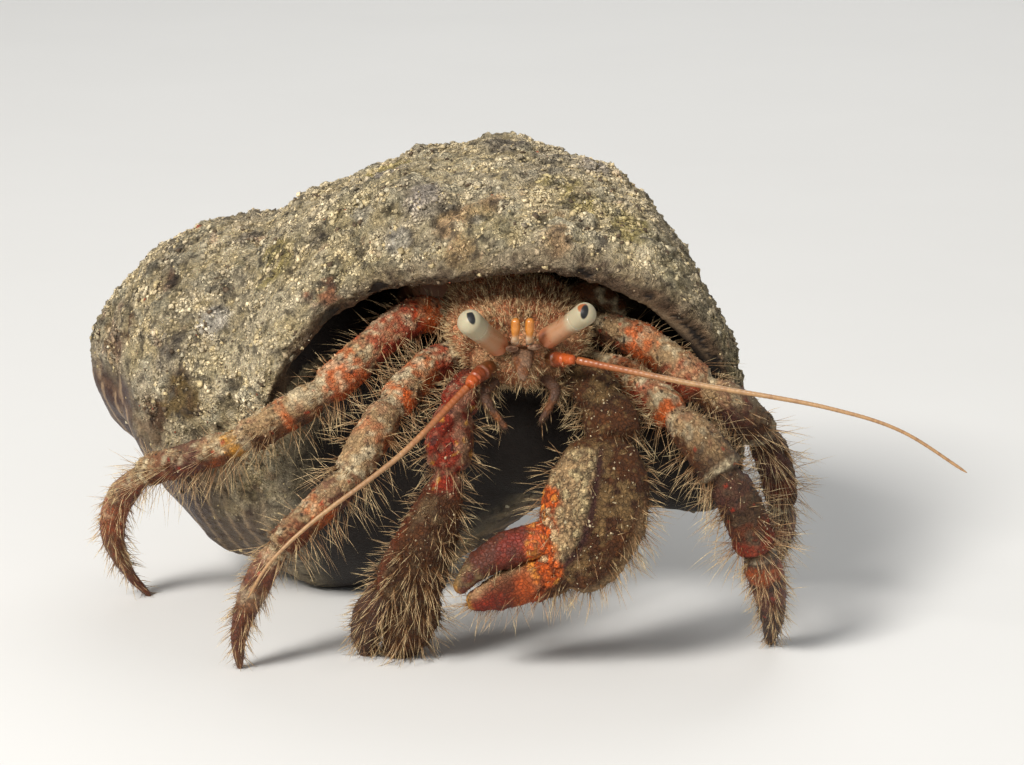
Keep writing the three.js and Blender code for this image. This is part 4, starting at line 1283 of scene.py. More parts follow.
# ---------------------------------------------------------------- skins of the crab
def leg_colours(looks, bands, limb, points, normals, places):
    """Markings of a walking leg: sand on top, brown under, with bands, spots and pits."""
    broad, middle = clouds(points, 3.4, 51, 2), clouds(points, 1.5, 53, 2)
    fine = clouds(points, 0.7, 52, 2)
    up = normals[:, 2] - 0.35 * normals[:, 1]
    dusted = smooth(up + 0.3 * broad + 0.35 * middle + 0.2 * fine, -0.1, 0.45)
    dusted = dusted * (1 - 0.8 * smooth(places, limb.last - 3.2, limb.last - 2))
    sand = layered(looks.sand, (looks.cream, 0.85 * smooth(middle + fine, 0, 0.7)),
                   (looks.rose, 0.45 * smooth(broad - fine, 0.1, 0.6)))
    toe = blend(looks.rust * 0.9, looks.flesh * 1.1, smooth(middle + broad, -0.3, 0.3))
    colours = layered(
        looks.flesh, (looks.flesh * 0.5, smooth(broad, -0.4, 0.5)),
        (looks.orange * 0.8, 0.4 * smooth(middle, 0.0, 0.6)), (sand, dusted * 0.92),
        (toe, 0.85 * smooth(places, limb.last - 2.9, limb.last - 2.1)))
    # Painted shade: the crab's left legs are darkened from the carpus down, where they lie in
    # shade.
    if limb.stations[0][0] > 0:
        colours = blend(colours, looks.flesh * 0.22, 0.9 * smooth(places + middle, 2, 3.8))
    for at, half, tint, strength in bands:
        edge = np.abs(places - at) / half + 0.5 * fine + 0.55 * middle
        share = (1 - smooth(edge, 0.5, 1.2)) * strength
        if tint == "cream":
            share = share * (0.25 + 0.6 * smooth(fine - middle, -0.2, 0.4))
        else:
            share = share * (1 - 0.55 * dusted * smooth(fine, -0.3, 0.3))
        colours = blend(colours, getattr(looks, tint), share)
    near, number, gap = pebbles(points + 0.25 * middle[:, None], 0.8, 5)
    pits = (1 - smooth(near, 0.2, 0.34)) * (number > 0.4) * (0.35 + 0.65 * dusted)
    spots = (1 - smooth(near, 0.2, 0.42)) * (number < 0.07)
    return layered(colours, (looks.pit, pits * 0.9),
                   (looks.pit, 0.3 * (1 - smooth(gap, 0.03, 0.2))), (looks.scarlet, spots * 0.7))


def skin_relief(points, height, seed):
    """Tubercles and folds of hard crab skin, in mm."""
    near, number, _ = pebbles(points, 0.95, seed)
    bumps = (1 - smooth(near, 0.05, 0.6)) * (number > 0.3)
    finer = 1 - smooth(pebbles(points, 0.5, seed + 3)[0], 0.05, 0.6)
    return height * (0.75 * bumps + 0.3 * finer + 0.5 * clouds(points, 2.4, seed, 2) - 0.4)


class Skins:
    """What the coat needs to know of each skin, by the skin's name: its limbs, colours and
    kind, the stations that it spans, and the start and length of its share of the unwrap."""

    kept = {}

    @classmethod
    def keep(cls, piece, limbs, colours, kind, span=None, strip=(0.0, 1.0)):
        cls.kept[piece.name] = (piece, limbs, colours, kind, span or (0, limbs[0].last), strip)


class HERMIT_OT_walking_legs(bpy.types.Operator):
    """Builds the four walking legs, each a jointed skin with a curved toe"""

    bl_idname = "hermit.walking_legs"
    bl_label = "Walking legs"

    def execute(self, context):
        looks = context.scene.hermit_body
        inset = looks.coat_depth / MM
        finish = crust_finish("leg_crust", speckle=0.35, cracks=0.25)
        toe_finish = crust_finish("toe_horn", (0.35, 0.6), 0.06, 0.3, 0.45)
        for corner, leg in LEGS.items():
            limb = Limb(leg["stations"], leg["side"])
            joints = leg["joints"]
            swell = articulated(joints)
            toe_from = joints[-2]
            skin = tube(f"leg_{corner}_skin", limb, 0, toe_from, 68, 260, swell, (1.4, 1.0),
                        inset, (0, 0.35))
            toe = tube(f"leg_{corner}_toe", limb, toe_from, limb.last, 64, 130, swell,
                       (0.9, 0.6), inset * 0.7, (0.2, 0))
            for piece, kind, material, slot, nodes, span, strip in (
                    (skin, "leg", finish, "leg_crust", LEG_PIECES[:3], (0, toe_from), (0, 0.68)),
                    (toe, "toe", toe_finish, "dactyl", LEG_PIECES[3:], (toe_from, limb.last),
                     (0.7, 0.3))):
                points = points_of(piece)
                places, _, _ = limb.locate(points)
                height = skin_relief(points, looks.tubercle / MM, 7)
                if kind == "toe":
                    height *= 0.5 * (1 - smooth(places, limb.last - 1, limb.last))
                raise_skin(piece, height)
                colours = leg_colours(looks, LEG_BANDS[corner], limb, points,
                                      normals_of(piece), places)
                finish_skin(piece, colours, material, slot,
                            *[f"leg_{corner}_{node}" for node in nodes])
                Skins.keep(piece, (limb,), colours, kind, span, strip)
        return {"FINISHED"}


class HERMIT_OT_claws(bpy.types.Operator):
    """Builds the two claw arms, their hands and their moving fingers"""

    bl_idname = "hermit.claws"
    bl_label = "Claws"

    def execute(self, context):
        looks = context.scene.hermit_body
        inset = looks.coat_depth / MM
        finish = crust_finish("claw_crust")
        finger_finish = crust_finish("finger_horn", (0.35, 0.65), 0.08, 0.4, 0.45)
        for hand, claw in CLAWS.items():
            arm, palm, fixed, moving = (Limb(claw[part], claw["side"]) for part in
                                        ("arm", "palm", "fixed", "moving"))
            big = hand == "left"
            edges = (math.pi, 0) if big else (-math.pi / 2, math.pi / 2)
            arm_skin = tube("arm", arm, 0, arm.last, 88, 130,
                            articulated([0, ARM_ELBOW, arm.last]), (1.6, 1.4), inset)
            palm_skin = tube("palm", palm, 0, palm.last, 88, 110, self.palm_swell,
                             (1.4, 2.2), inset, (0.9, 0.3))
            fixed_skin = tube("fixed", fixed, 0, fixed.last, 56, 70, self.teeth(edges[0]),
                              (1.4, 0.6), inset)
            skin = fused(f"claw_{hand}_skin", [arm_skin, palm_skin, fixed_skin],
                         0.24 if big else 0.22, 3)
            finger = tube(f"claw_{hand}_finger_horn", moving, 0, moving.last, 72, 110,
                          self.teeth(edges[1]), (1.2, 0.6), inset, (0.6, 0))
            self.dress(skin, looks, arm, palm, fixed, big, finish, hand)
            self.dress_finger(finger, looks, moving, big, finger_finish, hand)
        return {"FINISHED"}

    @staticmethod
    def palm_swell(places, turn):
        return 1 + 0.03 * np.cos(3 * turn)

    @staticmethod
    def teeth(bite):
        """Blunt teeth along the edge where the fingers meet."""

        def swell(places, turn):
            facing = np.clip(np.cos(turn - bite), 0, 1) ** 4
            row = 0.45 + 0.55 * np.sin(places * 14) ** 2
            return 1 + 0.18 * facing * row * smooth(places, 0.5, 1)

        return swell

    @staticmethod
    def dress(piece, looks, arm, palm, fixed, big, finish, hand):
        points, normals = points_of(piece), normals_of(piece)
        found, which = nearest_limb((arm, palm, fixed), points)
        palm_place, palm_turn, _ = found[1]
        aside = np.sin(palm_turn)  # across the palm, 1 on the crab's left
        front = smooth(-normals[:, 1], -0.1, 0.5)
        on_hand = smooth(palm_place, 0.15, 0.5) * (which > 0)
        finger = smooth(found[2][0], 0.7, 1.3) * (which == 2)
        fine, broad = clouds(points, 0.8, 55, 2), clouds(points, 3, 56, 2)
        scales, scale = crumbs(points, 0.85 if big else 1.0, 17)
        height = skin_relief(points, looks.tubercle / MM, 8)
        brown = blend(looks.flesh * 0.7, looks.flesh * 0.38, smooth(broad, -0.3, 0.5))
        brown = brown * [0.82, 0.76, 0.52]
        if big:
            face = front * on_hand * (1 - smooth(aside + 0.1 * fine, -0.02, 0.12))
            face = face * (1 - finger)
            height += face * (0.26 * scales - 0.09)
            ridge = front * on_hand * (1 - finger) * smooth(scale, 0.1, 0.35)
            height += 0.6 * ridge * np.exp(-(((aside + 0.07) / 0.07) ** 2)) * scales
            valley = np.exp(-(((aside - 0.07 - 0.05 * fine) / 0.07) ** 2)) * front * on_hand
            raise_skin(piece, height - 0.25 * valley)
            # Painted shade: on the big claw the browns and the dust are painted darker, as its
            # outer side lies away from the key light; the dust itself is real.
            dust_and_shade = np.array(looks.sand) * [0.56, 0.53, 0.41]
            band = smooth(aside, 0.8, 0.95) * on_hand * smooth(palm_place, 1.2, 2)
            pale = blend(looks.sand * 0.95, np.array(looks.cream) * [0.92, 0.88, 0.74],
                         0.8 * smooth(scale + 0.3 * fine, 0.4, 1.1))
            cracks = face * (1 - smooth(scales, 0.05, 0.45)) * smooth(fine + broad, -0.7, 0)
            rust = layered(
                looks.scarlet * 0.6, (looks.rust * 0.8, smooth(broad + fine, -0.5, 0.4)),
                (looks.orange * 0.8, 0.6 * smooth(points[:, 0], -0.5, 1.5)))
            inside = smooth(-aside, 0.5, 0.85) * smooth(palm_place, 2.4, 3.2) * on_hand
            tiles = np.zeros(len(points))
            flat = np.array([1, 0.35, 1])
            for *place, reach in ORANGE_TILES:
                tiles = np.maximum(tiles, near_spot(points * flat, place * flat, reach))
            finger_edge = np.clip(-np.cos(found[2][1]), 0, 1) ** 6 * finger
            tile = layered(looks.orange, (looks.amber, 0.7 * smooth(scale, 0.5, 0.8)),
                           (looks.cream * 0.9, 0.6 * (scale > 0.85)),
                           (looks.rust, 0.8 * (1 - smooth(scales, 0.1, 0.35))))
            colours = layered(
                brown * 0.85, (dust_and_shade, 0.5 * smooth(fine + broad, 0.05, 0.7)),
                (dust_and_shade, 0.5 * smooth(scales * scale, 0.5, 0.8)), (looks.sand, 0.5 * band),
                (pale, face), (looks.pit, 0.75 * cracks),
                (looks.plum * 0.5, np.clip(1.3 * valley, 0, 0.95)),
                (rust, np.maximum(finger, inside * (1 - face))),
                (looks.sand * 0.9, 0.7 * finger_edge),
                (tile, smooth(tiles + 0.25 * fine, 0.2, 0.5)))
        else:
            arm_place = found[0][0]
            raise_skin(piece, height)
            wrist = smooth(arm_place, 0.6, 1.6) * (which == 0)
            inner = smooth(normals[:, 0] - 0.2 * broad, 0.2, 0.7)
            red = blend(looks.scarlet * 0.7, looks.rose * 0.9, smooth(broad + fine, 0.1, 0.7))
            top = np.maximum(wrist, (1 - smooth(palm_place + 0.3 * broad, 0.3, 0.8))
                             * (which == 1))
            edge = smooth(-normals[:, 0], 0.5, 0.85) * (which == 1)
            spots = smooth(scales, 0.3, 0.7) * top
            colours = layered(
                brown * 0.9, (looks.sand * 0.55, 0.35 * smooth(fine + broad, 0, 0.7)),
                (red, top * (1 - 0.75 * inner) * 0.9), (looks.rust * 1.1, 0.6 * edge),
                (looks.amber, spots * (scale > 0.87) * 0.6),
                (looks.plum * 0.6, spots * (scale < 0.14) * 0.8))
        near, number, _ = pebbles(points, 0.9, 17)
        pits = (1 - smooth(near, 0.12, 0.28)) * (number > 0.45)
        colours = layered(
            colours, (looks.amber * 0.85, smooth(found[2][0], 2.75, 3) * (which == 2)),
            (looks.pit, pits * 0.7))
        finish_skin(piece, colours, finish, "claw_crust",
                    *[f"claw_{hand}_{part}" for part in ("merus", "carpus", "palm")])
        Skins.keep(piece, (arm, palm, fixed), colours, "claw")

    @staticmethod
    def dress_finger(piece, looks, limb, big, finish, hand):
        points = points_of(piece)
        places, turn, _ = limb.locate(points)
        raise_skin(piece, skin_relief(points, looks.tubercle / MM, 12)
                   * (1 - smooth(places, limb.last - 0.8, limb.last)))
        fine, broad = clouds(points, 0.9, 57, 2), clouds(points, 2.0, 58, 2)
        if big:
            scales, scale = crumbs(points, 0.6, 17)
            tile = layered(looks.orange * 0.9, (looks.amber, 0.6 * smooth(scale, 0.5, 0.8)),
                           (looks.rust, 0.7 * (1 - smooth(scales, 0.1, 0.4))))
            shade = smooth(np.cos(turn + math.pi / 2) + 0.3 * broad, 0.2, 0.8)
            colours = layered(
                looks.rust * 0.6, (looks.scarlet * 0.5, smooth(broad + 0.5 * fine, -0.3, 0.6)),
                (tile, smooth(points[:, 0] + 0.6 * broad, 1.2, 2)),
                (looks.rust * 0.5, 0.7 * shade),
                (paint(122, 104, 66), 0.7 * smooth(places, 1.9, 2.2) * smooth(fine, -0.4, 0.3)))
        else:
            colours = blend(looks.flesh * 0.42, looks.rust * 0.45, smooth(broad, -0.3, 0.4))
        colours = blend(colours, looks.amber * 0.8, smooth(places + 0.2 * fine, 2.75, 3))
        finish_skin(piece, colours, finish, "finger", f"claw_{hand}_finger")
        Skins.keep(piece, (limb,), colours, "finger" if big else "toe")


class HERMIT_OT_trunk(bpy.types.Operator):
    """Builds the trunk with its hairy shield, the soft abdomen and the small fourth legs"""

    bl_idname = "hermit.trunk"
    bl_label = "Trunk and abdomen"

    def execute(self, context):
        looks = context.scene.hermit_body
        limb = Limb(TRUNK, ACROSS)
        piece = tube("trunk_skin", limb, 0, limb.last, 150, 110, None, (1.6, 2.0),
                     looks.coat_depth / MM, (0.4, 0))
        points = points_of(piece)
        raise_skin(piece, skin_relief(points, 1.4 * looks.tubercle / MM, 14))
        broad, fine = clouds(points, 3, 61, 2), clouds(points, 0.9, 62, 2)
        colours = layered(
            looks.flesh, (paint(198, 122, 82), smooth(broad, -0.5, 0.3)),
            (looks.sand, 0.6 * smooth(fine + 0.4 * broad, -0.3, 0.4)),
            (looks.rust, 0.6 * blotches(points, 1.8, 63, .3, .6)))
        finish_skin(piece, colours, crust_finish("shield_crust"), "crust_hairy", "trunk")
        Skins.keep(piece, (limb,), colours, "trunk")
        self.abdomen()
        self.prop_legs(looks)
        return {"FINISHED"}

    @staticmethod
    def abdomen():
        stations = []
        for degrees, width in zip(ABDOMEN_ANGLES, ABDOMEN_WIDTH):
            angle = math.radians(degrees)
            scale = math.exp(GROWTH * angle)
            middle = on_shell(np.array([ABDOMEN_STATION * scale - APEX_OFFSET]),
                              np.array([ABDOMEN_RADIUS * scale]), np.array([angle]))[0]
            stations.append([*middle, width, width * 0.85])
        limb = Limb(stations, SHELL_AXIS)

        def folds(places, turn):
            return 1 + 0.035 * np.sin(places * 11) - 0.02

        piece = tube("abdomen_skin", limb, 0, limb.last, 64, 100, folds, (2.5, 2.0), 0.1)
        points = points_of(piece)
        broad = clouds(points, 2.5, 65, 2)
        raise_skin(piece, 0.08 * clouds(points, 1.1, 66, 2))
        colours = blend(paint(176, 122, 90), paint(142, 84, 60), smooth(broad, -0.3, 0.4))
        finish = smooth_finish("soft_abdomen", 0.4, 0.3, 1.2, 0.05, subsurface_weight=0.1,
                               subsurface_scale=0.0015)
        finish_skin(piece, colours, finish, "soft_skin", "abdomen")

    @staticmethod
    def prop_legs(looks):
        finish = crust_finish("prop_leg_crust", (0.45, 0.75), 0.06)
        for hand, stations in PROP_LEGS.items():
            limb = Limb(stations, [0, 1, 0.3])
            piece = tube(f"leg_fourth_{hand}_skin", limb, 0, limb.last, 48, 80,
                         articulated([0, 1, 2, limb.last]), (0.8, 0.5), 0.08)
            points = points_of(piece)
            raise_skin(piece, skin_relief(points, 0.6 * looks.tubercle / MM, 19))
            colours = blend(looks.flesh, looks.cream, blotches(points, 1.5, 67, 0, .5))
            finish_skin(piece, colours, finish, "leg_crust", f"leg_fourth_{hand}")
            Skins.keep(piece, (limb,), colours, "prop")


# ---------------------------------------------------------------- head
# The dark spots lie on the side of the eyes that faces someone who stands in front of the
# crab and looks a little down at it.
LOOK_DOWN = math.radians(14)
VIEW_UP = np.array([0, math.sin(LOOK_DOWN), math.cos(LOOK_DOWN)])
VIEW_WAY = np.array([0, math.cos(LOOK_DOWN), -math.sin(LOOK_DOWN)])
# For each eye: the spot's middle across and up that view, and its lean.
PUPILS = {"right": ((-4.3, 35.47), -0.28), "left": ((7.62, 36.05), 0.15)}
PUPIL_WIDE, PUPIL_TALL, FLECK_WIDE, FLECK_TALL = 0.42, 0.78, 0.5, 0.55  # half sizes, mm


class HERMIT_OT_eyes(bpy.types.Operator):
    """Builds the eyestalks and the eyes with their dark spots"""

    bl_idname = "hermit.eyes"
    bl_label = "Eyes"

    def execute(self, context):
        looks = context.scene.hermit_head
        stalk_finish = smooth_finish("eyestalk_skin", 0.32, 0.2, 1.6, 0.03, coat_weight=0.3,
                                     subsurface_weight=0.15, subsurface_scale=0.0006)
        eye_finish = smooth_finish("eye_glaze", 0.45, 0.12, 9.0, 0.004,
                                   specular_ior_level=0.3, subsurface_weight=0.2,
                                   subsurface_scale=0.0006)
        for hand, stations in EYES.items():
            limb = Limb(stations, ACROSS)
            stalk = tube(f"eyestalk_{hand}_skin", limb, 0, CORNEA_FROM, 72, 70, None,
                         (0.9, 0.25), 0.0, (0.2, 0.12))
            eye = tube(f"cornea_{hand}_glaze", limb, CORNEA_FROM, limb.last, 110, 90, None,
                       (0.02, 1.25))
            for piece, finish, slot in ((stalk, stalk_finish, "eyestalk"),
                                        (eye, eye_finish, "cornea")):
                points = points_of(piece)
                places, _, _ = limb.locate(points)
                colours = self.colours(looks, hand, points, places)
                finish_skin(piece, colours, finish, slot, f"{slot}_{hand}")
        return {"FINISHED"}

    @staticmethod
    def colours(looks, hand, points, places):
        mottle = clouds(points, 0.8, 71, 2)
        colours = layered(
            looks.stalk, (looks.eye, smooth(places + 0.15 * mottle, 0.95, 1.45)),
            (paint(188, 96, 56), 0.5 * (1 - smooth(places, 0.25, 0.6))))
        (across, up), lean = PUPILS[hand]
        height = points @ VIEW_UP - up
        sideways = (points[:, 0] - across) - lean * height
        seen = (points - np.array(EYES[hand][-1][:3])) @ VIEW_WAY < 0.2
        spot = np.sqrt((sideways / PUPIL_WIDE) ** 2 + (height / PUPIL_TALL) ** 2)
        if hand == "left":
            fleck = np.sqrt(((sideways + 0.3) / FLECK_WIDE) ** 2
                            + ((height - 0.5) / FLECK_TALL) ** 2)
            colours = blend(colours, looks.fleck, (1 - smooth(fleck, 0.8, 1.15)) * seen)
        return blend(colours, looks.pupil, (1 - smooth(spot, 0.85, 1.12)) * seen)


class HERMIT_OT_feelers(bpy.types.Operator):
    """Builds the two antennules and the two long antennae"""

    bl_idname = "hermit.feelers"
    bl_label = "Feelers"

    def execute(self, context):
        looks = context.scene.hermit_head
        paddle = smooth_finish("antennule_skin", 0.35, 0.35, 3.0, 0.03, coat_weight=0.3)
        for hand, stations in ANTENNULES.items():
            limb = Limb(stations, ACROSS)
            piece = tube(f"antennule_{hand}_skin", limb, 0, limb.last, 40, 90,
                         self.paddle_swell, (0.4, 0.45), 0.02)
            points = points_of(piece)
            places, _, _ = limb.locate(points)
            colours = layered(
                paint(206, 184, 156), (looks.antennule, smooth(places, 0.95, 1.35)),
                (paint(204, 132, 52), 0.5 * blotches(points, 0.7, 72, 0, 0.5)))
            finish_skin(piece, colours, paddle, "antennule", f"antennule_{hand}")
        finish = smooth_finish("whip_skin", 0.4, 0.5, 2.5, 0.05)
        for hand, antenna in ANTENNAE.items():
            self.base(context.scene.hermit_body, hand, antenna["base"], finish)
            self.whip(looks, hand, antenna["whip"], finish)
        return {"FINISHED"}

    @staticmethod
    def paddle_swell(places, turn):
        return (0.95 - 0.12 * np.exp(-(((places - 1.05) / 0.2) ** 2))
                + 0.25 * smooth(places, 1.15, 1.6))

    @staticmethod
    def base(looks, hand, stations, finish):
        limb = Limb(stations, [0, 1, 0.4])
        piece = tube(f"antenna_base_{hand}_skin", limb, 0, limb.last, 56, 80,
                     articulated([0, 0.8, 1.4, limb.last]), (0.8, 0.4), 0.05)
        points = points_of(piece)
        raise_skin(piece, skin_relief(points, 0.4 * looks.tubercle / MM, 23))
        places, _, _ = limb.locate(points)
        mottled = clouds(points, 0.8, 73, 2)
        colours = layered(
            np.array(looks.flesh) * 0.8,
            (np.array(looks.rust) * 1.3, smooth(places + 0.4 * mottled, 0.4, 1.1)),
            (np.array(looks.orange) * 0.7, 0.8 * smooth(places + 0.3 * mottled, 1.1, 1.6)))
        finish_skin(piece, colours, finish, "antenna", f"antenna_base_{hand}")
        Skins.keep(piece, (limb,), colours, "prop")

    @staticmethod
    def whip(looks, hand, stations, finish):
        limb = Limb(stations, [0, 0, 1])

        def ringed(places, turn):
            length = np.interp(places, limb.places, limb.lengths)
            taper = 1 - 0.35 * length / limb.lengths[-1]
            return taper * (1 + 0.03 * np.sin(TURN * length / WHIP_RING))

        piece = tube(f"antenna_{hand}_skin", limb, 0, limb.last, 10, 500, ringed, (0.2, 1.6))
        places, _, _ = limb.locate(points_of(piece))
        length = np.interp(places, limb.places, limb.lengths)
        dark = smooth(np.sin(TURN * length / WHIP_RING), 0.3, 1)
        colours = layered(looks.whip, (looks.whip_end, smooth(length, 1.5, 14)),
                          (paint(110, 56, 34), 0.25 * dark))
        finish_skin(piece, colours, finish, "antenna", f"antenna_{hand}")


class HERMIT_OT_mouthparts(bpy.types.Operator):
    """Builds the beak between the eyes and the mouth, and the two hanging maxillipeds"""

    bl_idname = "hermit.mouthparts"
    bl_label = "Mouthparts"

    def execute(self, context):
        looks = context.scene.hermit_body
        finish = crust_finish("mouth_crust", (0.4, 0.7), 0.06, 0.35, 0.4)
        for number, stations in enumerate(OCULAR_SCALES):
            scale = tube(f"ocular_scale_{number + 1}", Limb(stations, ACROSS), 0, 2, 32, 40,
                         None, (0.8, 0.8))
            points = points_of(scale)
            raise_skin(scale, 0.03 * clouds(points, 0.5, 77, 2))
            colours = blend(paint(120, 82, 60), paint(184, 150, 122),
                            blotches(points, 0.6, 78, -0.3, 0.5))
            finish_skin(scale, colours, finish, "mouthparts")
        pieces = [("antennule_base", ANTENNULE_BASE, None, paint(128, 96, 72))]
        for hand, stations in MAXILLIPEDS.items():
            pieces.append((f"maxilliped_{hand}", stations, articulated([0, 0.9, 1.4, 2]),
                           paint(80, 52, 34)))
        for node, stations, swell, tint in pieces:
            limb = Limb(stations, ACROSS)
            piece = tube(f"{node}_skin", limb, 0, limb.last, 56, 84, swell, (0.7, 0.5), 0.04)
            points = points_of(piece)
            raise_skin(piece, skin_relief(points, 0.5 * looks.tubercle / MM, 25))
            colours = blend(tint, looks.flesh, smooth(clouds(points, 1, 74), 0, .6))
            finish_skin(piece, colours, finish, "mouthparts", node)
            Skins.keep(piece, (limb,), colours, "mouth")
        return {"FINISHED"}


# ---------------------------------------------------------------- coat
MOST_SHORT_HAIRS = 19000  # on one skin
FEWEST_TUFTS, TUFT_SIZES, SIZE_CHANCES = 12, (1, 2, 3), (0.6, 0.3, 0.1)
MEAN_TUFT = 1.5  # bristles
ROOT_DEPTH, NAP_DEPTH = 0.08, 0.06  # mm that bristles and short hairs start under the skin
# For each kind of skin: long bristles and short hairs per square mm, longest bristle and
# short hair against the usual, and how far the bristles stand up from the skin.
COATS = {
    "leg": {"long": 1.6, "short": 1.8, "reach": 1.4, "nap": 0.6, "rise": 0.85},
    "toe": {"long": 3.2, "short": 5.0, "reach": 0.7, "nap": 0.9, "rise": 0.6},
    "claw": {"long": 2.0, "short": 4.5, "reach": 1.0, "nap": 0.75, "rise": 0.8},
    "finger": {"long": 1.2, "short": 2.5, "reach": 0.5, "nap": 0.5, "rise": 0.7},
    "trunk": {"long": 5.2, "short": 3.4, "reach": 0.45, "nap": 0.9, "rise": 0.9},
    "prop": {"long": 1.5, "short": 3.0, "reach": 0.4, "nap": 0.5, "rise": 0.6},
    "mouth": {"long": 3.5, "short": 8.0, "reach": 0.6, "nap": 0.8, "rise": 0.7},
}


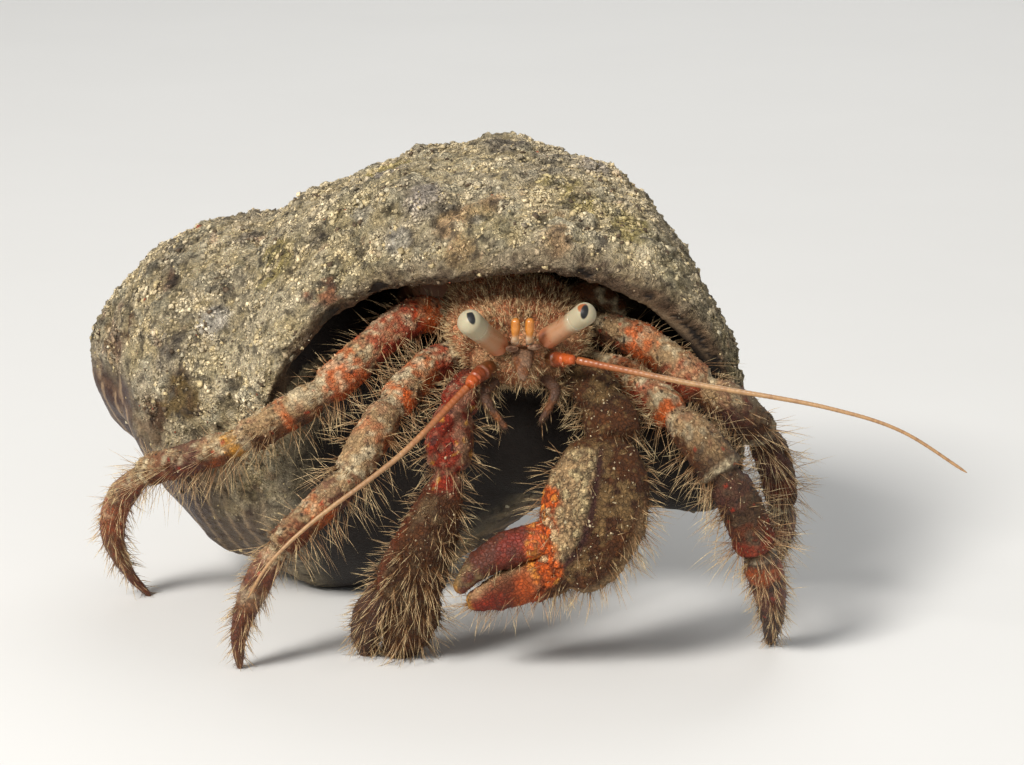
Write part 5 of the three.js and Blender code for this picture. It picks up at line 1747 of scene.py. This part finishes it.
class HERMIT_OT_coat(bpy.types.Operator):
    """Plants the long bristles and the short hair on every kept skin, and fine sand on the legs,
    claws and trunk
    """

    bl_idname = "hermit.coat"
    bl_label = "Coat"

    def execute(self, context):
        finish = bristle_finish("bristle")
        grit = crust_finish("leg_grit", (0.6, 0.95), 0.04, 0.5)
        for seed, (name, skin) in enumerate(sorted(Skins.kept.items())):
            self.plant(context.scene, name, skin, 100 + 10 * seed, finish, grit)
        return {"FINISHED"}

    def plant(self, scene, name, skin, seed, finish, grit):
        looks = scene.hermit_coat
        piece, limbs, colours, kind, (first, last), (strip, wide) = skin
        coat, slot = COATS[kind], piece["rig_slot"]
        points, normals = points_of(piece), normals_of(piece)
        area = sum(face.area for face in piece.data.polygons) / MM**2
        found, which = nearest_limb(limbs, points)
        places, turns = (np.choose(which, [found[i][part] for i in range(len(limbs))])
                         for part in (0, 1))
        along = np.choose(which[:, None], [limb.lie(place)[0] for limb, (place, _, _)
                                           in zip(limbs, found)])
        share = np.clip((places - first) / (last - first), 0, 1)
        share = (which + share) / len(limbs)
        roots = np.column_stack([turns / TURN, strip + wide * share])
        chance = self.where(kind, name, points, normals, places, which)
        rng = np.random.default_rng(seed)
        base = name.replace("_skin", "").replace("_horn", "")
        thickness = looks.thickness / MM
        # Long bristles stand singly and in tufts of two or three.
        tufts = max(FEWEST_TUFTS, int(area * coat["long"] * looks.density / MEAN_TUFT))
        spots, facing, nearest = sow(piece, tufts, chance["long"], seed + 1)
        tuft = np.repeat(np.arange(tufts), rng.choice(TUFT_SIZES, size=tufts, p=SIZE_CHANCES))
        count = len(tuft)
        facing, nearest = facing[tuft], nearest[tuft]
        spots = spots[tuft] + rng.normal(scale=0.05, size=(count, 3))
        reach = looks.long_hair / MM * coat["reach"] * chance["reach"][nearest]
        lengths = reach * (0.4 + 0.6 * rng.random(count) ** 0.9)
        lean = along[nearest] * (1 - coat["rise"]) * 1.4
        shared = rng.normal(scale=0.22, size=(tufts, 3))[tuft]
        ways = facing * coat["rise"] + lean + shared + rng.normal(scale=0.1, size=(count, 3))
        bends = 0.12 * along[nearest] + rng.normal(scale=0.07, size=(count, 3))
        widths = thickness * (0.65 + 0.45 * rng.random(count))
        tints = blend(colours[nearest] * 0.7, looks.root, np.full(count, 0.75))
        tips = blend(np.array(looks.root) * 1.5, np.array(looks.tip) * 1.05,
                     0.25 + 0.75 * rng.random(count) ** 0.7)
        hair = bristles(f"{base}_bristles", spots - facing * ROOT_DEPTH, ways, bends, lengths,
                        widths, tints, tips, roots[nearest], 3)
        settle(hair, finish, slot)
        # Short hair covers the skin more evenly.
        count = min(int(area * coat["short"] * looks.density), MOST_SHORT_HAIRS)
        spots, facing, nearest = sow(piece, count, chance["short"], seed + 2)
        lengths = (looks.short_hair / MM * coat["nap"] * chance["nap"][nearest]
                   * (0.4 + 0.6 * rng.random(count)))
        ways = facing * 0.6 + along[nearest] * 0.6 + rng.normal(scale=0.3, size=(count, 3))
        bends = 0.25 * along[nearest] + rng.normal(scale=0.12, size=(count, 3))
        widths = thickness * (0.55 + 0.3 * rng.random(count))
        own = colours[nearest] * [1, 0.9, 0.75]
        tints = blend(own * 0.4, looks.root, np.full(count, 0.15))
        tips = blend(own * 0.65, looks.tip, 0.05 + 0.55 * rng.random(count) ** 4)
        hair = bristles(f"{base}_nap", spots - facing * NAP_DEPTH, ways, bends, lengths,
                        widths, tints, tips, roots[nearest], 2)
        settle(hair, finish, slot)
        # Fine sand.
        if kind in ("leg", "claw", "trunk"):
            count = int(area * (2 if kind == "leg" else 3))
            spots, facing, nearest = sow(piece, count, chance["sand"], seed + 3)
            widths = 0.12 + 0.14 * rng.random(count) + 0.26 * rng.random(count) ** 8
            own = colours[nearest] * (0.7 + 0.5 * rng.random((count, 1)))
            pale = rng.random(count) < 0.1
            own[pale] = blend(own[pale], scene.hermit_body.cream, np.full(pale.sum(), 0.7))
            sand = sand_grains(f"{base}_grit", spots, facing, widths, own, roots[nearest],
                               seed + 4)
            settle(sand, grit, slot)

    @staticmethod
    def where(kind, name, points, normals, places, which):
        """Where the coat grows, and how long: longest along the edges and undersides."""
        up = normals[:, 2] - 0.3 * normals[:, 1]
        patchy = blotches(points, 2.2, 91, -0.5, 0.3)
        top = smooth(up, 0.05, 0.7)
        grows = {
            "long": (0.4 + 0.6 * patchy) * (1 - 0.8 * top),
            "short": (0.35 + 0.65 * patchy) * (1 - 0.97 * top),
            "sand": np.clip(up + 0.4, 0, 1) * patchy + 0.03,
            "reach": 1 - 0.7 * top,
            "nap": 1 - 0.5 * top,
        }
        if kind == "toe":
            grows["long"] = (0.5 + 0.5 * patchy) * (1 - 0.4 * top)
            grows["short"] = (0.5 + 0.5 * patchy) * (1 - 0.3 * top)
            grows["reach"] = 1 - 0.45 * top
        if kind == "trunk":
            grows["reach"] = np.full(len(points), 0.8)
            grows["nap"] = np.ones(len(points))
            grows["long"] = (points[:, 1] < 8) + 0.02
            grows["short"] = (points[:, 1] < 9) + 0.02
        if name == "claw_left_skin":
            face = smooth(-normals[:, 1], 0.2, 0.7) * (which > 0) * (normals[:, 0] < 0.15)
            side = smooth(-normals[:, 1], 0, 0.5) * (which > 0) * (1 - face)
            grows["short"] = grows["short"] * (1 - 0.6 * side)
            for key in ("long", "short"):
                grows[key] = grows[key] * (1 - 0.9 * face)
            grows["sand"] = grows["sand"] + face
        if kind == "claw":
            grows["sand"] = grows["sand"] * (which < 2) + 0.01
        if name == "claw_right_skin":
            grows["sand"] = grows["sand"] * 0.3
            hand = smooth(which + np.where(which == 1, places, 3) / 3, 1.0, 1.3)
            grows["short"] = grows["short"] + 0.9 * hand
            grows["long"] = grows["long"] + 0.35 * hand
            grows["nap"] = grows["nap"] + 0.5 * hand
        return grows


# ---------------------------------------------------------------- stage
AIM_HEIGHT = 0.0295  # the camera and the lamps point this high over the crab's middle, m
VIEW_WIDTH = 0.1106  # how much the picture takes in at the crab, m
SENSOR = 36  # mm
FLOOR_SIZE = 6


class HERMIT_OT_stage(bpy.types.Operator):
    """Makes the pale floor, the soft lights and the camera"""

    bl_idname = "hermit.stage"
    bl_label = "Stage"

    def execute(self, context):
        looks = context.scene.hermit_stage
        deselect()
        bpy.ops.mesh.primitive_plane_add(size=FLOOR_SIZE, location=(0, 0, 0))
        floor = context.object
        floor.name = floor.data.name = "stage_floor"
        bpy.ops.object.mode_set(mode="EDIT")
        bpy.ops.mesh.select_all(action="SELECT")
        bpy.ops.mesh.subdivide(number_cuts=3)
        bpy.ops.object.mode_set(mode="OBJECT")
        work = Finish("floor_paint", specular_ior_level=0.2)
        speck = work.noise(work.place(), 0.02, 4.0)
        shade = work.mix("MIX", work.ramp(speck, .3, .7, 0, .35), (*looks.floor, 1),
                         (*(c * 0.97 for c in looks.floor), 1))
        floor.data.materials.append(work.done(Base_Color=shade,
                                              Roughness=work.ramp(speck, .3, .7, .7, .8)))
        self.surroundings(context, looks)
        middle = Vector(ORIGIN * MM) + Vector((0, 0, AIM_HEIGHT))
        self.lamps(context, looks, middle)
        self.camera(context, looks, middle)
        context.scene.view_settings.view_transform = "Standard"
        return {"FINISHED"}

    @staticmethod
    def surroundings(context, looks):
        """Weak white light from all around, and the floor's colour behind what is seen."""
        world = context.scene.world or bpy.data.worlds.new("studio")
        context.scene.world = world
        world.use_nodes = True
        work = Nodes(world.node_tree)
        work.tree.nodes.clear()
        rays = work.node("ShaderNodeLightPath").outputs
        seen = rays["Is Camera Ray"]
        for kind in ("Is Glossy Ray", "Is Transmission Ray"):
            seen = work.math("ADD", seen, rays[kind], clamp=True)
        air = work.node("ShaderNodeBackground", Color=(1.0, 1.0, 1.0, 1), Strength=0.2)
        backdrop = work.node("ShaderNodeBackground", Color=(*looks.floor, 1), Strength=1.0)
        chosen = work.node("ShaderNodeMixShader", None, seen, air.outputs[0],
                           backdrop.outputs[0])
        work.node("ShaderNodeOutputWorld", None, chosen.outputs[0])

    @staticmethod
    def lamps(context, looks, middle):
        for name, power, size, place, colour in (
                ("key_light", looks.key, 0.27, (-0.48, -0.6, 0.6), (1.0, 0.965, 0.92)),
                ("fill_light", looks.fill, 0.6, (0.3, -0.6, 0.2), (1.0, 1.0, 1.0)),
                ("rim_light", looks.fill * 1.8, 0.5, (0.1, 0.6, 0.55), (1.0, 1.0, 1.0))):
            lamp = bpy.data.lights.new(name, "AREA")
            lamp.energy, lamp.size, lamp.color = power, size, colour
            holder = bpy.data.objects.new(name, lamp)
            context.scene.collection.objects.link(holder)
            holder.location = middle + Vector(place)
            holder.rotation_euler = (-Vector(place)).to_track_quat("-Z", "Y").to_euler()

    @staticmethod
    def camera(context, looks, middle):
        lens = bpy.data.cameras.new("camera")
        camera = bpy.data.objects.new("camera", lens)
        context.scene.collection.objects.link(camera)
        away = Vector((0, -math.cos(looks.elevation), math.sin(looks.elevation)))
        camera.location = middle + away * looks.distance
        camera.rotation_euler = (-away).to_track_quat("-Z", "Y").to_euler()
        lens.sensor_width = SENSOR
        lens.lens = SENSOR * looks.distance / VIEW_WIDTH
        lens.clip_start, lens.clip_end = 0.01, 20
        context.scene.camera = camera


# ---------------------------------------------------------------- panel and start
class HERMIT_PT_panel(bpy.types.Panel):
    """Lists the steps of the build"""

    bl_label = "Hermit crab"
    bl_idname = "HERMIT_PT_panel"
    bl_space_type = "VIEW_3D"
    bl_region_type = "UI"
    bl_category = "Hermit Crab"

    def draw(self, context):
        for step in STEPS:
            self.layout.operator(step.bl_idname)
        for name, group in GROUPS:
            box = self.layout.box()
            box.label(text=group.__doc__)
            for key in group.__annotations__:
                box.prop(getattr(context.scene, name), key)


STEPS = (HERMIT_OT_stage, HERMIT_OT_shell, HERMIT_OT_trunk, HERMIT_OT_walking_legs,
         HERMIT_OT_claws, HERMIT_OT_eyes, HERMIT_OT_feelers, HERMIT_OT_mouthparts,
         HERMIT_OT_coat)
GROUPS = (("hermit_shell", HERMIT_PG_shell), ("hermit_body", HERMIT_PG_body),
          ("hermit_coat", HERMIT_PG_coat), ("hermit_head", HERMIT_PG_head),
          ("hermit_stage", HERMIT_PG_stage))


def register():
    for name, group in GROUPS:
        bpy.utils.register_class(group)
        setattr(bpy.types.Scene, name, PointerProperty(type=group))
    for kind in (*STEPS, HERMIT_PT_panel):
        bpy.utils.register_class(kind)


def unregister():
    for kind in reversed((*STEPS, HERMIT_PT_panel)):
        bpy.utils.unregister_class(kind)
    for name, group in reversed(GROUPS):
        delattr(bpy.types.Scene, name)
        bpy.utils.unregister_class(group)


def main():
    register()
    bpy.ops.hermit.stage()
    bpy.ops.hermit.shell()
    bpy.ops.hermit.trunk()
    bpy.ops.hermit.walking_legs()
    bpy.ops.hermit.claws()
    bpy.ops.hermit.eyes()
    bpy.ops.hermit.feelers()
    bpy.ops.hermit.mouthparts()
    bpy.ops.hermit.coat()


if __name__ == "__main__":
    main()
